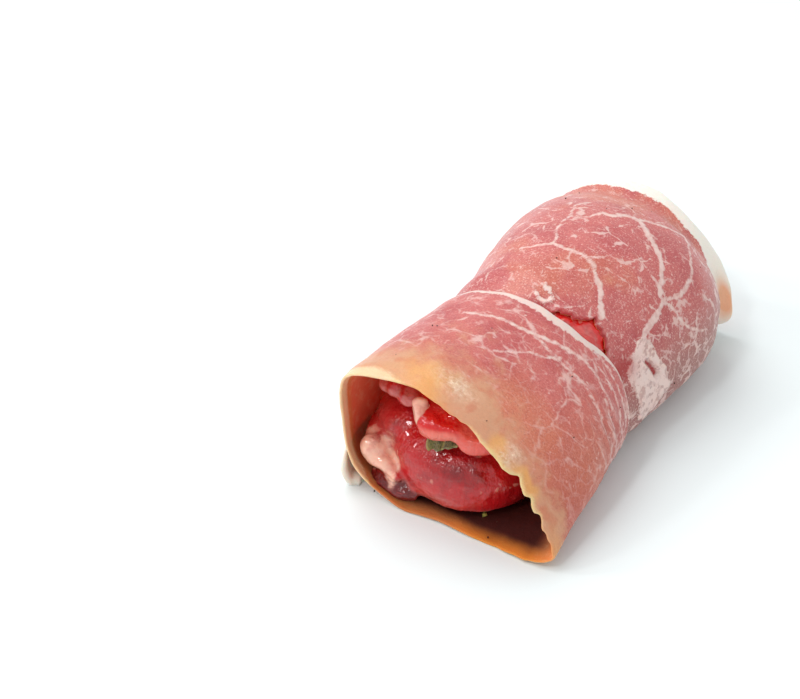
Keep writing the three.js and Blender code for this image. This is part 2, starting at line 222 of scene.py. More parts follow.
class SaltimboccaVeal(bpy.types.PropertyGroup):
    """Sizes and colours of the cutlet."""

    spacing: length("Mesh spacing", "Distance between mesh points on the cutlet", 0.45)
    relief: length("Relief", "Height of the cutlet's soft unevenness", 0.3)
    red: colour("Red", "Colour of the raw veal", 202, 24, 30)
    bright: colour("Bright red", "Colour of the freshly cut veal", 214, 26, 26)
    coral: colour("Coral", "Colour of the thin lip of the upper fold", 240, 128, 108)
    pale: colour("Fat", "Colour of the veal's fat", 252, 194, 170)
    dull: colour("Membrane", "Colour of the tissue on the veal", 206, 116, 108)
    # Also the colour of the painted shade deep in the mouth and toward the right of the cutlet.
    dark: colour("Dark", "Colour of the dark tissue under the fold", 100, 18, 22)
    wetness: share("Wetness", "How wet the veal looks", 0.6)


class SaltimboccaLeaf(bpy.types.PropertyGroup):
    """Sizes and colours of the sage leaf."""

    length: length("Length", "Length of the leaf", 41)
    width: length("Width", "Width of the leaf", 15)
    thickness: length("Thickness", "Thickness of the leaf", 0.6)
    ripple: length("Ripple", "Height of the leaf's waves", 0.4)
    green: colour("Green", "Colour of the leaf", 96, 90, 48)
    pale: colour("Pale green", "Colour of the leaf's furred edge and veins", 168, 148, 88)


class SaltimboccaSpecks(bpy.types.PropertyGroup):
    """Amount, size and colour of the pepper and sage crumbs."""

    count: IntProperty(name="Specks", description="Scattered pepper specks on the slices", default=22, min=0)
    size: length("Size", "Usual half size of a speck", 0.18)
    seed: IntProperty(name="Seed", description="Seed of the scatter", default=7, min=0)
    pepper: colour("Pepper", "Colour of the pepper", 52, 34, 24)
    crumb: colour("Sage crumb", "Colour of the sage crumbs", 150, 140, 66)


class SaltimboccaStage(bpy.types.PropertyGroup):
    """The floor, light and camera."""

    floor: colour("Floor", "Colour of the floor", 238, 246, 247)
    key: power("Key light", "Power of the key light", 2.25)
    fill: power("Fill light", "Power of the fill light", 1.2)
    side: power("Side lights", "Power of the two side lights together", 1.5)
    sky: FloatProperty(name="Sky", description="Strength of the even studio light", default=0.72, min=0)
    azimuth: angle("Azimuth", "The camera's turn round the roll from its front", 31)
    elevation: angle("Elevation", "The camera's height as an angle", 35)
    distance: length("Distance", "Distance from the camera to the point it looks at", 428.57)
    lens: FloatProperty(name="Lens", description="Focal length", default=81.0, min=1, unit="CAMERA")
    aim: FloatVectorProperty(
        name="Aim",
        description="The point at the middle of the picture",
        default=(-39.8 * MM, 1.75 * MM, 0),
        subtype="TRANSLATION",
        unit="LENGTH",
    )


# Shape functions

def smooth(low, high, value):
    """A soft step from 0 at low to 1 at high."""
    u = np.clip((value - low) / (high - low), 0, 1)
    return u * u * (3 - 2 * u)


def bump(value, middle, width, power=2):
    """A round bump of height 1. A higher power gives it a flatter top and steeper sides."""
    return np.exp(-(np.abs((value - middle) / width) ** power))


def wave(turn, times, phase):
    """A wave that goes up and down a number of times round the roll."""
    return np.sin(2 * np.pi * (times * turn + phase))


def between(first, second, share_of_way):
    """A value some share of the way from the first to the second."""
    return first + (second - first) * share_of_way


def near(turn, middle, width, power=2):
    """A bump round the roll, which closes on itself."""
    apart = (turn - middle + 0.5) % 1 - 0.5
    return bump(apart, 0, width, power)


def bumps_round(turn, rows):
    """The sum of bumps round the roll, each a height and its middle and width in turns."""
    return sum(height * near(turn, middle, width) for height, middle, width in rows)


def hazes(points, rows):
    """The sum of wide soft spots that fade away evenly, each a strength, a middle and half sizes."""
    return sum(
        strength * np.exp(-np.sum(((points - np.array(at)) / half) ** 2, axis=-1))
        for strength, at, half in rows
    )


NOISE_VALUES = 4096
NOISE_PRIMES = (73856093, 19349663, 83492791)


def soft_noise(points, size, seed):
    """Smooth noise from -1 to 1 at points, with features about size across."""
    values = np.random.default_rng(seed).uniform(-1, 1, NOISE_VALUES)
    place = np.asarray(points) / size
    cell = np.floor(place).astype(np.int64)
    u = place - cell
    u = u * u * u * (u * (6 * u - 15) + 10)
    total = 0
    for corner in np.ndindex(2, 2, 2):
        key = (cell + corner) * NOISE_PRIMES
        weight = np.where(np.array(corner) == 1, u, 1 - u).prod(axis=-1)
        total = total + weight * values[(key[..., 0] ^ key[..., 1] ^ key[..., 2]) % NOISE_VALUES]
    return total


def rough_noise(points, size, seed, octaves=3):
    """Noise with finer noise on it."""
    layers = (soft_noise(points, size / 2**step, seed + step) / 2**step for step in range(octaves))
    return sum(layers) / 1.5


def layered_noise(points, layers):
    """Layers of smooth noise, each a height, a size across and a seed."""
    return sum(height * soft_noise(points, size, seed) for height, size, seed in layers)


# The slices' edges

def front_rim(turn):
    """Where the front slice begins along the roll: its wavy rim, nicked and torn at the right."""
    along = np.stack([np.asarray(turn, float) * GIRTH, 0 * turn, 0 * turn], axis=-1)
    torn = layered_noise(along, ((0.3, 4.0, 15), (0.26, 1.5, 16)))
    corner = 1.3 * bump(turn, 0.13, 0.06)
    peak = 0.6 * bump(turn, 0.64, 0.05)
    wavy = FRONT_RIM - corner - peak + 0.25 * wave(turn, 9, 0.4)
    return wavy + bumps_round(turn, RIM_NICKS) + torn * near(turn, 0.3, 0.22, 4)


def front_slice_end(turn):
    """Where the front slice ends, over the back one."""
    return FRONT_END + 2.7 * bump(turn, 0.315, 0.057) + 0.12 * wave(turn, 17, 0.2)


def far_rim(turn):
    """Where the back slice ends, at the far end of the roll."""
    return FAR_RIM - 2 * bump(turn, 0.15, 0.08) + 0.25 * wave(turn, 5, 0.6) + 0.1 * wave(turn, 19, 0.3)


def tear(turn):
    """1 along the tear beside the front slice, 0 elsewhere."""
    return bump(turn, TEAR["turn"], TEAR["width"], 6)


def back_slice_start(turn):
    """Where the back slice begins: tucked under the front one, and torn back at the tear."""
    teeth = sum(depth * bump(turn, middle, width) for depth, middle, width in TEAR_TEETH)
    ragged = tear(turn) * (0.3 * wave(turn, 61, 0.2) + 0.22 * wave(turn, 103, 0.6))
    return front_slice_end(turn) - OVERLAP + (OVERLAP + TEAR["open"]) * tear(turn) + teeth + ragged


class RollSkin:
    """The roll's outer shape as a fine table of points for each turn and place along the roll."""

    FIRST = -56.0
    STEP = 0.25
    ROWS = 441
    TURNS = 720

    def __init__(self):
        places = self.FIRST + self.STEP * np.arange(self.ROWS)
        sections = [self.section(self.sizes(place)) for place in places]
        self.x = np.array([section[0] for section in sections])
        self.z = np.array([section[1] for section in sections])

    @staticmethod
    def sizes(place):
        """The station values at a place along the roll, by a cubic through the rows."""
        rows = np.array([[*row["x"], *row["peak"], *row["sides"], *row["bend"]] for row in STATIONS])
        places = np.array([row["y"] for row in STATIONS], float)
        last = len(places) - 1
        row = int(np.clip(np.searchsorted(places, place, side="right") - 1, 0, last - 1))
        span = places[row + 1] - places[row]
        u = min(max((place - places[row]) / span, 0), 1)

        def slope(at):
            before, after = max(at - 1, 0), min(at + 1, last)
            return (rows[after] - rows[before]) / (places[after] - places[before])

        from_start = 2 * u**3 - 3 * u**2 + 1
        start_slope = span * (u**3 - 2 * u**2 + u) * slope(row)
        end_slope = span * (u**3 - u**2) * slope(row + 1)
        return from_start * rows[row] + (1 - from_start) * rows[row + 1] + start_slope + end_slope

    def section(self, sizes):
        """The x and z of a section's outline at even shares of the way round."""
        left, right, peak, top, left_side, right_side = sizes[:6]
        upper_left, upper_right, lower_left, lower_right = sizes[6:]
        way_round = np.linspace(-np.pi / 2, 1.5 * np.pi, self.TURNS + 1)
        across, up = np.cos(way_round), np.sin(way_round)
        is_right, is_up = across >= 0, up >= 0
        bend_up = np.where(is_right, upper_right, upper_left)
        bend_low = np.where(is_right, lower_right, lower_left)
        power = 2 / np.where(is_up, bend_up, bend_low)
        middle = np.where(is_up, peak, (left + right) / 2)
        side = np.where(is_right, right_side, left_side)
        x = middle + (np.where(is_right, right, left) - middle) * np.abs(across) ** power
        z = side + (np.where(is_up, top, 0) - side) * np.abs(up) ** power
        z = np.maximum(z - SINK, 0)
        run = np.concatenate([[0], np.cumsum(np.hypot(np.diff(x), np.diff(z)))])
        even = np.linspace(0, run[-1], self.TURNS + 1)
        return np.interp(even, run, x), np.interp(even, run, z)

    def point(self, turn, place):
        """The points of the outer shape at turns and places along the roll."""
        turn, place = np.broadcast_arrays(np.asarray(turn, float), np.asarray(place, float))
        column = (turn % 1) * self.TURNS
        row = np.clip((place - self.FIRST) / self.STEP, 0, self.ROWS - 1.001)
        left, low = column.astype(int), row.astype(int)
        u, v = column - left, row - low

        def look(table):
            near_row = between(table[low, left], table[low, left + 1], u)
            next_row = between(table[low + 1, left], table[low + 1, left + 1], u)
            return between(near_row, next_row, v)

        return np.stack([look(self.x), place, look(self.z)], axis=-1)

    def moved(self, turn, place, distance):
        """The same points moved out of the shape by a distance, or into it by a negative one."""
        tiny_turn, tiny_run = 0.008, 0.4
        around = self.point(turn + tiny_turn, place) - self.point(turn - tiny_turn, place)
        along = self.point(turn, place + tiny_run) - self.point(turn, place - tiny_run)
        outward = np.cross(along, around)
        outward /= np.linalg.norm(outward, axis=-1, keepdims=True)
        return self.point(turn, place) + outward * np.asarray(distance)[..., None]


SKIN = RollSkin()


def dive(turn, place, ham):
    """How deep the back slice lies below the outer shape, where it dives under the front one."""
    end = front_slice_end(turn)
    return (ham + GAP) * (1 - 0.8 * tear(turn) ** 4) * (1 - smooth(end, end + STEP_FADE, place))


def veal_depth(turn, place, ham):
    """How deep the cutlet lies below the outer shape. It bulges into the tear."""
    start, end = back_slice_start(turn), front_slice_end(turn)
    half = np.maximum(start - end, 0.5) / 2
    swell = SWELL * tear(turn) * bump(place, end + half, half + 1.5, 4)
    return ham + GAP + VEAL["clear"] + dive(turn, place, ham) * smooth(start - 9, start - 1, place) - swell


# Lines and patches on the skin, as turns and places along the roll

# Each vein of fat that is drawn: its widths at the two ends, and its path.
VEINS = (
    ((1.0, 1.5), ((0.503, 24.6), (0.487, 24.3), (0.479, 27.2), (0.452, 28.2), (0.422, 23.5))),
    ((1.5, 1.1), ((0.422, 23.5), (0.396, 20.3), (0.371, 15.8), (0.352, 11.7), (0.339, 11.3))),
    ((1.1, 1.9), ((0.339, 11.3), (0.33, 6.8), (0.322, 2.6), (0.311, -0.5))),
    ((0.9, 0.3), ((0.487, 24.3), (0.503, 24.6), (0.522, 19.7), (0.548, 18.8))),
    ((0.9, 0.7), ((0.339, 11.3), (0.331, 16.4), (0.331, 20.5), (0.35, 25.6), (0.368, 32.3))),
    ((0.7, 0.6), ((0.368, 32.3), (0.383, 36.8), (0.411, 32.7), (0.448, 29.8), (0.452, 28.2))),
    ((0.5, 0.9), ((0.575, 3.4), (0.56, 4.2), (0.528, 6.0), (0.501, 4.8), (0.477, 5.4), (0.454, 4.4))),
    ((0.9, 1.7), ((0.454, 4.4), (0.434, 1.8), (0.419, 0.9), (0.388, -4.6))),
    ((0.6, 0.3), ((0.477, 5.4), (0.461, 5.8), (0.449, 8.1))),
    ((0.5, 0.7), ((0.528, 6.0), (0.55, 15.2), (0.546, 19.7), (0.557, 25.8), (0.539, 28.6))),
    ((0.9, 0.4), ((0.339, 11.3), (0.316, 13.2), (0.301, 13.2), (0.27, 17.2), (0.253, 22.5))),
    ((0.5, 0.8), ((0.556, -22.1), (0.527, -21.3), (0.486, -20.6), (0.451, -20.4))),
    ((0.8, 0.5), ((0.451, -20.4), (0.406, -18.2), (0.373, -16.6), (0.327, -16.4), (0.28, -18.0))),
    ((0.5, 0.3), ((0.451, -20.4), (0.403, -21.2), (0.37, -21.0), (0.339, -20.8), (0.298, -22.0))),
    ((0.4, 0.3), ((0.298, -22.0), (0.258, -22.8), (0.21, -24.0))),
    ((0.3, 0.4), ((0.47, -29.8), (0.45, -27.2), (0.437, -25.5), (0.41, -23.1), (0.391, -20.4))),
    ((0.5, 0.4), ((0.4, -12.9), (0.36, -11.9), (0.32, -12.2), (0.28, -13.4), (0.22, -13.6))),
    ((0.4, 0.3), ((0.35, -14.4), (0.31, -14.3), (0.27, -15.8), (0.23, -16.6))),
    ((0.3, 0.4), ((0.3, -18.6), (0.26, -19.6), (0.22, -20.6), (0.19, -21.4))),
)
# The raised patch of fat on the right side, the slit in it, and the curl of fat beside the tear.
FAT_PATCH = (
    (0.309, -4.6),
    (0.326, 0.4),
    (0.308, 3.4),
    (0.274, 3.8),
    (0.214, 5.8),
    (0.194, 0.7),
    (0.2, -6),
    (0.24, -6.8),
    (0.286, -6.4),
)
PATCH_SLIT = ((0.284, -0.1), (0.271, 0.9), (0.256, 1.7))
FAT_CURL = ((0.49, -6.6), (0.473, -7.4), (0.462, -8.9), (0.468, -10.0), (0.48, -10.2), (0.492, -9.4))

# Where the lean gives way to the fat of the far end, as turns and places along the roll.
FAR_FAT_TURNS = (0, 0.15, 0.24, 0.29, 0.311, 0.347, 0.388, 0.428, 0.509, 0.568, 0.65, 0.75, 0.85, 1)
FAR_FAT_PLACES = (41, 39.5, 39, 40.5, 43.2, 44.5, 44.3, 45.3, 45.3, 46.1, 45.5, 44, 43, 41)
# How wide the fat along the front slice's far edge is.
EDGE_FAT_TURNS = (0, 0.2, 0.27, 0.31, 0.35, 0.41, 0.46, 0.5, 0.6, 0.7, 0.85, 1)
EDGE_FAT_WIDTHS = (0.2, 0.3, 0.4, 0.8, 1.5, 2.3, 2.1, 1.5, 0.9, 0.9, 1.1, 0.2)
# Glossy, crinkled patches beside the rim, with a painted highlight in their colour: strength, middle and half
# sizes on the unrolled skin.
GLOSS_AND_HIGHLIGHT_PATCHES = (
    (1.0, (71.0, -43.6), (4.5, 2.6)),
    (1.0, (52.5, -46.2), (2.4, 1.6)),
    (1.0, (53.5, -48.8), (2.6, 1.0)),
)
# Golden patches at the front rim: strength, middle and width in turns, and the distances from the rim
# between which each fades out.
GOLD_PATCHES = (
    (1.0, 0.375, 0.02, 8, 2),
    (0.8, 0.51, 0.05, 15, 4),
    (1.0, 0.31, 0.03, 4.5, 1.5),
    (1.0, 0.12, 0.12, 7, 1),
    (1.0, 0.68, 0.08, 9, 1),
)
# The warm and the raw stretch of lean low on the right side of the front slice, in the same terms.
WARM_SIDE = (1.0, 0.23, 0.11, 38, 14)
RAW_SIDE = (0.4, 0.21, 0.08, 30, 8)
# How far the rim's tan reaches in: everywhere, and more at these heights, middles and widths in turns.
TAN_REACH = 4.6
TAN_TONGUES = ((7.5, 0.53, 0.11), (3.2, 0.43, 0.08))


def flat(turn, place):
    """Turns and places along the roll as distances on an unrolled skin."""
    return np.stack([np.asarray(turn) * GIRTH, np.asarray(place) * np.ones_like(turn)], axis=-1)


FAR_AWAY = 1000.0


def segment_distance(points, start, end):
    """The distance of points to a line from start to end, and how far along it they lie."""
    start, end = np.array(start, float), np.array(end, float)
    run = end - start
    u = np.clip(((points - start) @ run) / (run @ run), 0, 1)
    return np.linalg.norm(points - start - u[..., None] * run, axis=-1), u


def flat_path(path):
    """A path's corners on the unrolled skin, rounded twice."""
    corners = [np.array([turn * GIRTH, place]) for turn, place in path]
    for _ in range(2):
        inner = []
        for first, second in zip(corners, corners[1:]):
            inner += [between(first, second, 0.25), between(first, second, 0.75)]
        corners = [corners[0], *inner[1:-1], corners[-1]]
    return corners


def line_distance(points, path, widths):
    """The distance of points to the side of a line of changing width, negative inside it."""
    corners = flat_path(path)
    count = len(corners) - 1
    nearest = np.full(points.shape[:-1], FAR_AWAY)
    for step in range(count):
        apart, u = segment_distance(points, corners[step], corners[step + 1])
        width = between(widths[0], widths[1], (step + u) / count)
        nearest = np.minimum(nearest, apart - width / 2)
    return nearest


def outline_distance(points, outline):
    """The distance of points to an outline, negative inside it."""
    corners = [np.array([turn * GIRTH, place]) for turn, place in outline]
    nearest = np.full(points.shape[:-1], FAR_AWAY)
    inside = np.zeros(points.shape[:-1], bool)
    for first, second in zip(corners, corners[1:] + corners[:1]):
        nearest = np.minimum(nearest, segment_distance(points, first, second)[0])
        crosses = (first[1] > points[..., 1]) != (second[1] > points[..., 1])
        rise = second[1] - first[1]
        reach = first[0] + (points[..., 1] - first[1]) * (second[0] - first[0]) / (rise if rise else 1e-9)
        inside ^= crosses & (points[..., 0] < reach)
    return np.where(inside, -nearest, nearest)


def wandering(turn, place, amount=0.5):
    """Points of the unrolled skin, pushed about so that drawn lines wander a little."""
    points = flat(turn, place)
    deep = np.concatenate([points, np.zeros_like(points[..., :1])], axis=-1)
    push = np.stack([rough_noise(deep, 4.0, 11), rough_noise(deep, 4.0, 29)], axis=-1)
    small = np.stack([soft_noise(deep, 1.1, 13), soft_noise(deep, 1.1, 31)], axis=-1)
    return points + amount * (push + 0.5 * small)


# Meshes

def grid_faces(rows, columns, first, is_round, flip=False):
    """The quads of a grid of points that starts at index first."""
    steps = columns if is_round else columns - 1
    row, column = np.meshgrid(np.arange(rows - 1), np.arange(steps), indexing="ij")
    following = (column + 1) % columns
    corners = [row * columns + column, row * columns + following]
    corners += [(row + 1) * columns + following, (row + 1) * columns + column]
    quads = np.stack([corner.ravel() for corner in corners], axis=1) + first
    return quads[:, ::-1] if flip else quads


def strip_faces(outer, inner):
    """The quads that join a line of points on the outer face with one on the inner face."""
    return np.stack([outer[1:], outer[:-1], inner[:-1], inner[1:]], axis=1)


class Shell:
    """Gathers closed sheets, each an outer and an inner grid of points with painted values, into one mesh."""

    def __init__(self):
        self.points = []
        self.faces = []
        self.paint = {}
        self.count = 0

    def add(self, outer, inner, outer_paint, inner_paint, is_round):
        """Adds a closed sheet. A round one goes right round and has no side edges."""
        rows, columns, _ = outer.shape
        first, second = self.count, self.count + rows * columns
        faces = [
            grid_faces(rows, columns, first, is_round),
            grid_faces(rows, columns, second, is_round, flip=True),
        ]
        for row, backwards in ((0, False), (rows - 1, True)):
            line = np.arange(columns) + row * columns
            if is_round:
                line = np.append(line, line[0])
            joined = strip_faces(line + first, line + second)
            faces.append(joined[:, ::-1] if backwards else joined)
        for column, backwards in ((0, True), (columns - 1, False)):
            if not is_round:
                line = np.arange(rows) * columns + column
                joined = strip_faces(line + first, line + second)
                faces.append(joined[:, ::-1] if backwards else joined)
        points = np.concatenate([outer.reshape(-1, 3), inner.reshape(-1, 3)])
        faces = np.concatenate(faces)
        self.points.append(points)
        self.faces.append(faces if signed_volume(points, faces - self.count) > 0 else faces[:, ::-1])
        self.count += 2 * rows * columns
        for name in outer_paint:
            for side in (outer_paint, inner_paint):
                values = np.broadcast_to(side[name], (rows, columns)).ravel()
                self.paint.setdefault(name, []).append(values)

    def build(self, name):
        paint = {key: np.concatenate(values) for key, values in self.paint.items()}
        return make_object(name, np.concatenate(self.points), np.concatenate(self.faces), paint)


def signed_volume(points, faces):
    """Six times the volume inside faces of four corners, negative where they face inward."""
    first, second, third, fourth = (points[faces[:, side]] for side in range(4))
    halves = ((first, second, third), (first, third, fourth))
    return sum(float((a * np.cross(b, c)).sum()) for a, b, c in halves)


def make_mesh(name, points, faces):
    """A smooth mesh from table points in millimetres and faces of a fixed number of corners."""
    mesh = bpy.data.meshes.new(name)
    corners = faces.shape[1]
    mesh.vertices.add(len(points))
    mesh.vertices.foreach_set("co", ((points - MIDDLE) * MM).astype(np.float32).ravel())
    mesh.loops.add(faces.size)
    mesh.loops.foreach_set("vertex_index", faces.astype(np.int32).ravel())
    mesh.polygons.add(len(faces))
    mesh.polygons.foreach_set("loop_start", np.arange(len(faces), dtype=np.int32) * corners)
    mesh.polygons.foreach_set("use_smooth", np.ones(len(faces), dtype=bool))
    mesh.update(calc_edges=True)
    mesh.validate()
    return mesh


def make_object(name, points, faces, paint=None):
    piece = bpy.data.objects.new(name, make_mesh(name, points, faces))
    bpy.context.scene.collection.objects.link(piece)
    set_paint(piece, paint or {})
    return piece


def set_paint(piece, paint):
    """Stores painted values on the mesh's points, for the materials."""
    for name, values in paint.items():
        layer = piece.data.attributes.new(name, "FLOAT", "POINT")
        layer.data.foreach_set("value", np.asarray(values, np.float32))


def table_points(piece):
    """The piece's mesh points on the roll's table, in millimetres."""
    flat_points = np.empty(len(piece.data.vertices) * 3, np.float32)
    piece.data.vertices.foreach_get("co", flat_points)
    return flat_points.reshape(-1, 3).astype(float) / MM + MIDDLE


def move_points(piece, points):
    piece.data.vertices.foreach_set("co", ((points - MIDDLE) * MM).astype(np.float32).ravel())
    piece.data.update()


# Ham slices

def thickness_at(edge, ham):
    return ham * between(RIM_THIN, 1, smooth(0, RIM_FADE, edge))


EDGE_CALM = 1.5  # how far a ragged cut edge shows in the rows of points beside it
CALM_COLUMNS = 9  # how many columns to each side take part in a calmed edge
EDGE_ROWS = np.array([0, 0.05, 0.14, 0.3])  # how far the rows that round a cut edge are from it
INNER_START = 0.5  # how far from a cut edge the even rows begin
EDGE_ROUND = 0.35  # how far from it a cut edge is rounded
EDGE_BLUNT = 0.97  # 1 would bring a cut edge down to a knife edge


def calmed(edge):
    """A cut edge without its fine teeth."""
    padded = np.pad(edge, CALM_COLUMNS, mode="edge")
    window = np.hanning(2 * CALM_COLUMNS + 3)[1:-1]
    return np.convolve(padded, window / window.sum(), mode="valid")


def slice_places(start, end, spacing):
    """Places along the roll for each turn, close together at the slice's two cut edges."""
    count = int(np.max(end - start) / spacing)
    middle = np.linspace(0, 1, count + 1)[:, None]
    calm_start, calm_end = calmed(start), calmed(end)
    inner = between(calm_start + INNER_START, calm_end - INNER_START, middle)
    inner = inner + (start - calm_start) * np.exp((calm_start - inner) / EDGE_CALM)
    inner = inner + (end - calm_end) * np.exp((inner - calm_end) / EDGE_CALM)
    return np.concatenate([start + EDGE_ROWS[:, None], inner, end - EDGE_ROWS[::-1, None]])


def rounded(edge):
    """How full a slice's thickness is at a distance from its cut edge, which is rounded."""
    return np.sqrt(1 - EDGE_BLUNT * (1 - np.clip(edge / EDGE_ROUND, 0, 1)) ** 2)


def ham_unevenness(points, looks):
    """Soft lumps and dents where the ham follows the meat under it."""
    return looks.relief / MM * layered_noise(points, ((1.0, 13, 3), (0.4, 5, 8), (0.12, 1.8, 5)))


def fat_patch_distance(turn, place):
    """The distance to the raised patch of fat, negative inside it."""
    return outline_distance(wandering(turn, place, 0.9), FAT_PATCH)


def front_relief(turn, place, looks):
    """Unevenness, the pleats that run down the right side, and the far edge pressed onto the back slice."""
    points = SKIN.point(turn, place)
    pulled = near(turn, 0.27, 0.1) * smooth(-34, -22, place)
    pleats = np.sin(2.1 * place + 3 * soft_noise(points, 18, 21)) * 0.16 * pulled
    creases = -0.25 * pulled * smooth(0.55, 0.9, np.sin(0.83 * place + 2.5 * soft_noise(points, 22, 31)))
    pressed = -0.3 * smooth(3, 0, front_slice_end(turn) - place)
    return ham_unevenness(points, looks) + pleats + creases + pressed


def back_relief(turn, place, looks):
    """Unevenness, the raised fat patch with its slit, and the curled knob beside the tear."""
    points = SKIN.point(turn, place)
    spread = flat(turn, place)
    bumpy = 0.34 + 0.14 * rough_noise(points, 2.2, 41)
    raised = smooth(0.6, -0.5, fat_patch_distance(turn, place)) * bumpy
    slit = -0.85 * smooth(0.9, 0.1, line_distance(spread, PATCH_SLIT, (0.5, 0.9)))
    knob = 0.45 * smooth(0.5, -0.4, line_distance(spread, FAT_CURL, (0.8, 1.1)))
    lifted = 0.25 * tear(turn) * smooth(2, 0.4, place - back_slice_start(turn))
    return ham_unevenness(points, looks) + raised + slit + knob + lifted


def slice_wrap(shell, plan, looks):
    """Adds the part of a slice that goes right round the roll."""
    ham, spacing = looks.thickness / MM, looks.spacing / MM
    columns = int(GIRTH / spacing)
    turn = np.arange(columns) / columns
    place = slice_places(plan.start(turn), plan.end(turn), spacing)
    edge = np.minimum(place - plan.start(turn), plan.end(turn) - place)
    turn = np.broadcast_to(turn, place.shape)
    thick = thickness_at(edge, ham)
    middle = plan.relief(turn, place, looks) - plan.depth(turn, place, ham) - thick / 2
    half = thick / 2 * rounded(edge)
    outer, inner = (SKIN.moved(turn, place, middle + side * half) for side in (1, -1))
    for face in (outer, inner):
        face[..., 2] = np.maximum(face[..., 2], 0)
    values = plan.paint(turn, place)
    shell.add(outer, inner, {**values, "inside": 0.0}, {**values, "inside": 1.0}, is_round=True)


def lap_places(plan, turn, spacing):
    """Places along a lap for each turn. It stays back from the slice's ends, and more at its free corners."""
    lap = plan.lap
    rounding = smooth(lap["free"] - LAP_CORNER, lap["free"], turn)
    return slice_places(
        plan.start(turn) + lap["inset"][0] + lap["round"][0] * rounding,
        plan.end(turn) - lap["inset"][1] - lap["round"][1] * rounding,
        spacing,
    )


def lap_paint(values, place, edge, free_edge, corner):
    """The slice's painted values with bare fat along the lap's free edge, and how much isn't bare."""
    fatty = np.minimum(values["fatty"], free_edge - between(14, 3.2, smooth(-42, -26, place)))
    lean = smooth(-0.5, 1.5, fatty)
    changed = {
        "fatty": fatty,
        "edge": edge,
        "tan": values["tan"] * lean,
        "cream": 1 - lean,
        "mottled": np.zeros_like(place),
        "gold": np.maximum(values["gold"], 0.1 * corner),
    }
    return {**values, **changed}, lean


def slice_lap(shell, plan, looks):
    """Adds a slice's loose outer end. Its root lies level in the slice, so that no seam shows."""
    ham, spacing = looks.thickness / MM, looks.spacing / MM
    lap = plan.lap
    root, free = lap["root"], lap["free"]
    turn = np.linspace(root, free, int((free - root) * GIRTH / spacing))
    place = lap_places(plan, turn, spacing)
    turn = np.broadcast_to(turn, place.shape)
    from_start = place - place[0]
    free_edge = (free - turn) * GIRTH
    edge = np.minimum(np.minimum(from_start, place[-1] - place), free_edge)
    lift = between(*lap["lift"], smooth(0, LAP_CALM, from_start / (place[-1] - place[0])))
    wrap_edge = np.minimum(place - plan.start(turn), plan.end(turn) - place)
    sunk = thickness_at(wrap_edge, ham) - LAP_PROUD
    level = plan.relief(turn, place, looks) - plan.depth(turn, place, ham)
    way_out = (turn - root) / (free - root)
    out = (lift + sunk) * way_out ** lap["curve"] - sunk + level * smooth(free, root, turn)
    ripple = 0.5 * soft_noise(SKIN.point(turn, place), 9, 51) * smooth(root, free, turn)
    corner = smooth(root, between(root, free, 0.6), turn) * smooth(6, 1, from_start)
    plump = 1 + lap["plump"] * corner
    thick = thickness_at(edge, ham) * plump
    half = thick / 2 * rounded(edge / plump)
    outer, inner = (SKIN.moved(turn, place, out + ripple + thick / 2 + side * half) for side in (1, -1))
    outer[..., 2] = np.maximum(outer[..., 2], 0)
    inner[..., 2] = np.maximum(inner[..., 2], 2 * half)
    values, lean = lap_paint(plan.paint(turn, place), place, edge, free_edge, corner)
    shell.add(outer, inner, {**values, "inside": 0.0}, {**values, "inside": 0.2 * lean}, is_round=False)


def vein_distance(turn, place):
    """The distance to the nearest drawn vein, negative inside it."""
    points = wandering(turn, place)
    return np.minimum.reduce([line_distance(points, vein, widths) for widths, vein in VEINS])


def rim_patch(turn, from_rim, strength, middle, width, far, close):
    """A patch beside the front rim, which fades out between two distances from it."""
    return strength * near(turn, middle, width) * smooth(far, close, from_rim)


def side_shares(turn):
    """Painted values of both slices: how low on the right side, and how far under the roll, a point is."""
    return {
        "low": smooth(0.33, 0.22, turn) * smooth(0, 0.05, turn),
        "under": np.maximum(smooth(0.82, 0.88, turn), smooth(0.2, 0.14, turn)),
    }


def lip_width(turn):
    """How wide the pale cut edge of the rim shows: narrow at the right, wider at the left, where the extra
    width is painted light shining through the thin edge.
    """
    right = 1.5 * smooth(0.22, 0.28, turn) * smooth(0.46, 0.38, turn)
    left = 3.8 * smooth(0.52, 0.6, turn) * smooth(0.88, 0.82, turn)
    return right + left


def front_paint(turn, place):
    """The front slice's painted values: veins and fat as distances, and how much of the rest shows."""
    end = front_slice_end(turn)
    from_rim = place - front_rim(turn)
    points = SKIN.point(turn, place)
    wander = 0.6 * rough_noise(points, 9, 61) + 0.25 * soft_noise(points, 2.5, 62)
    tan_reach = TAN_REACH + bumps_round(turn, TAN_TONGUES)
    warm_rim = 1 - smooth(7, 24, from_rim + 9 * rough_noise(points, 12, 63))
    gold = sum(rim_patch(turn, from_rim, *patch) for patch in GOLD_PATCHES)
    return {
        "vein": vein_distance(turn, place),
        "fatty": end - place - np.interp(turn, EDGE_FAT_TURNS, EDGE_FAT_WIDTHS),
        "cream": np.zeros_like(place),
        "warm": np.maximum(warm_rim, rim_patch(turn, from_rim, *WARM_SIDE)),
        "shine": np.clip(hazes(flat(turn, place), GLOSS_AND_HIGHLIGHT_PATCHES), 0, 1),
        "tan": 1 - smooth(-0.2, 2.4, from_rim / tan_reach + wander),
        "gold": np.clip(gold, 0, 1),
        "raw": rim_patch(turn, from_rim, *RAW_SIDE),
        "mottled": np.zeros_like(place),
        "edge": np.minimum(from_rim, end - place),
        "lip": lip_width(turn),
        **side_shares(turn),
    }


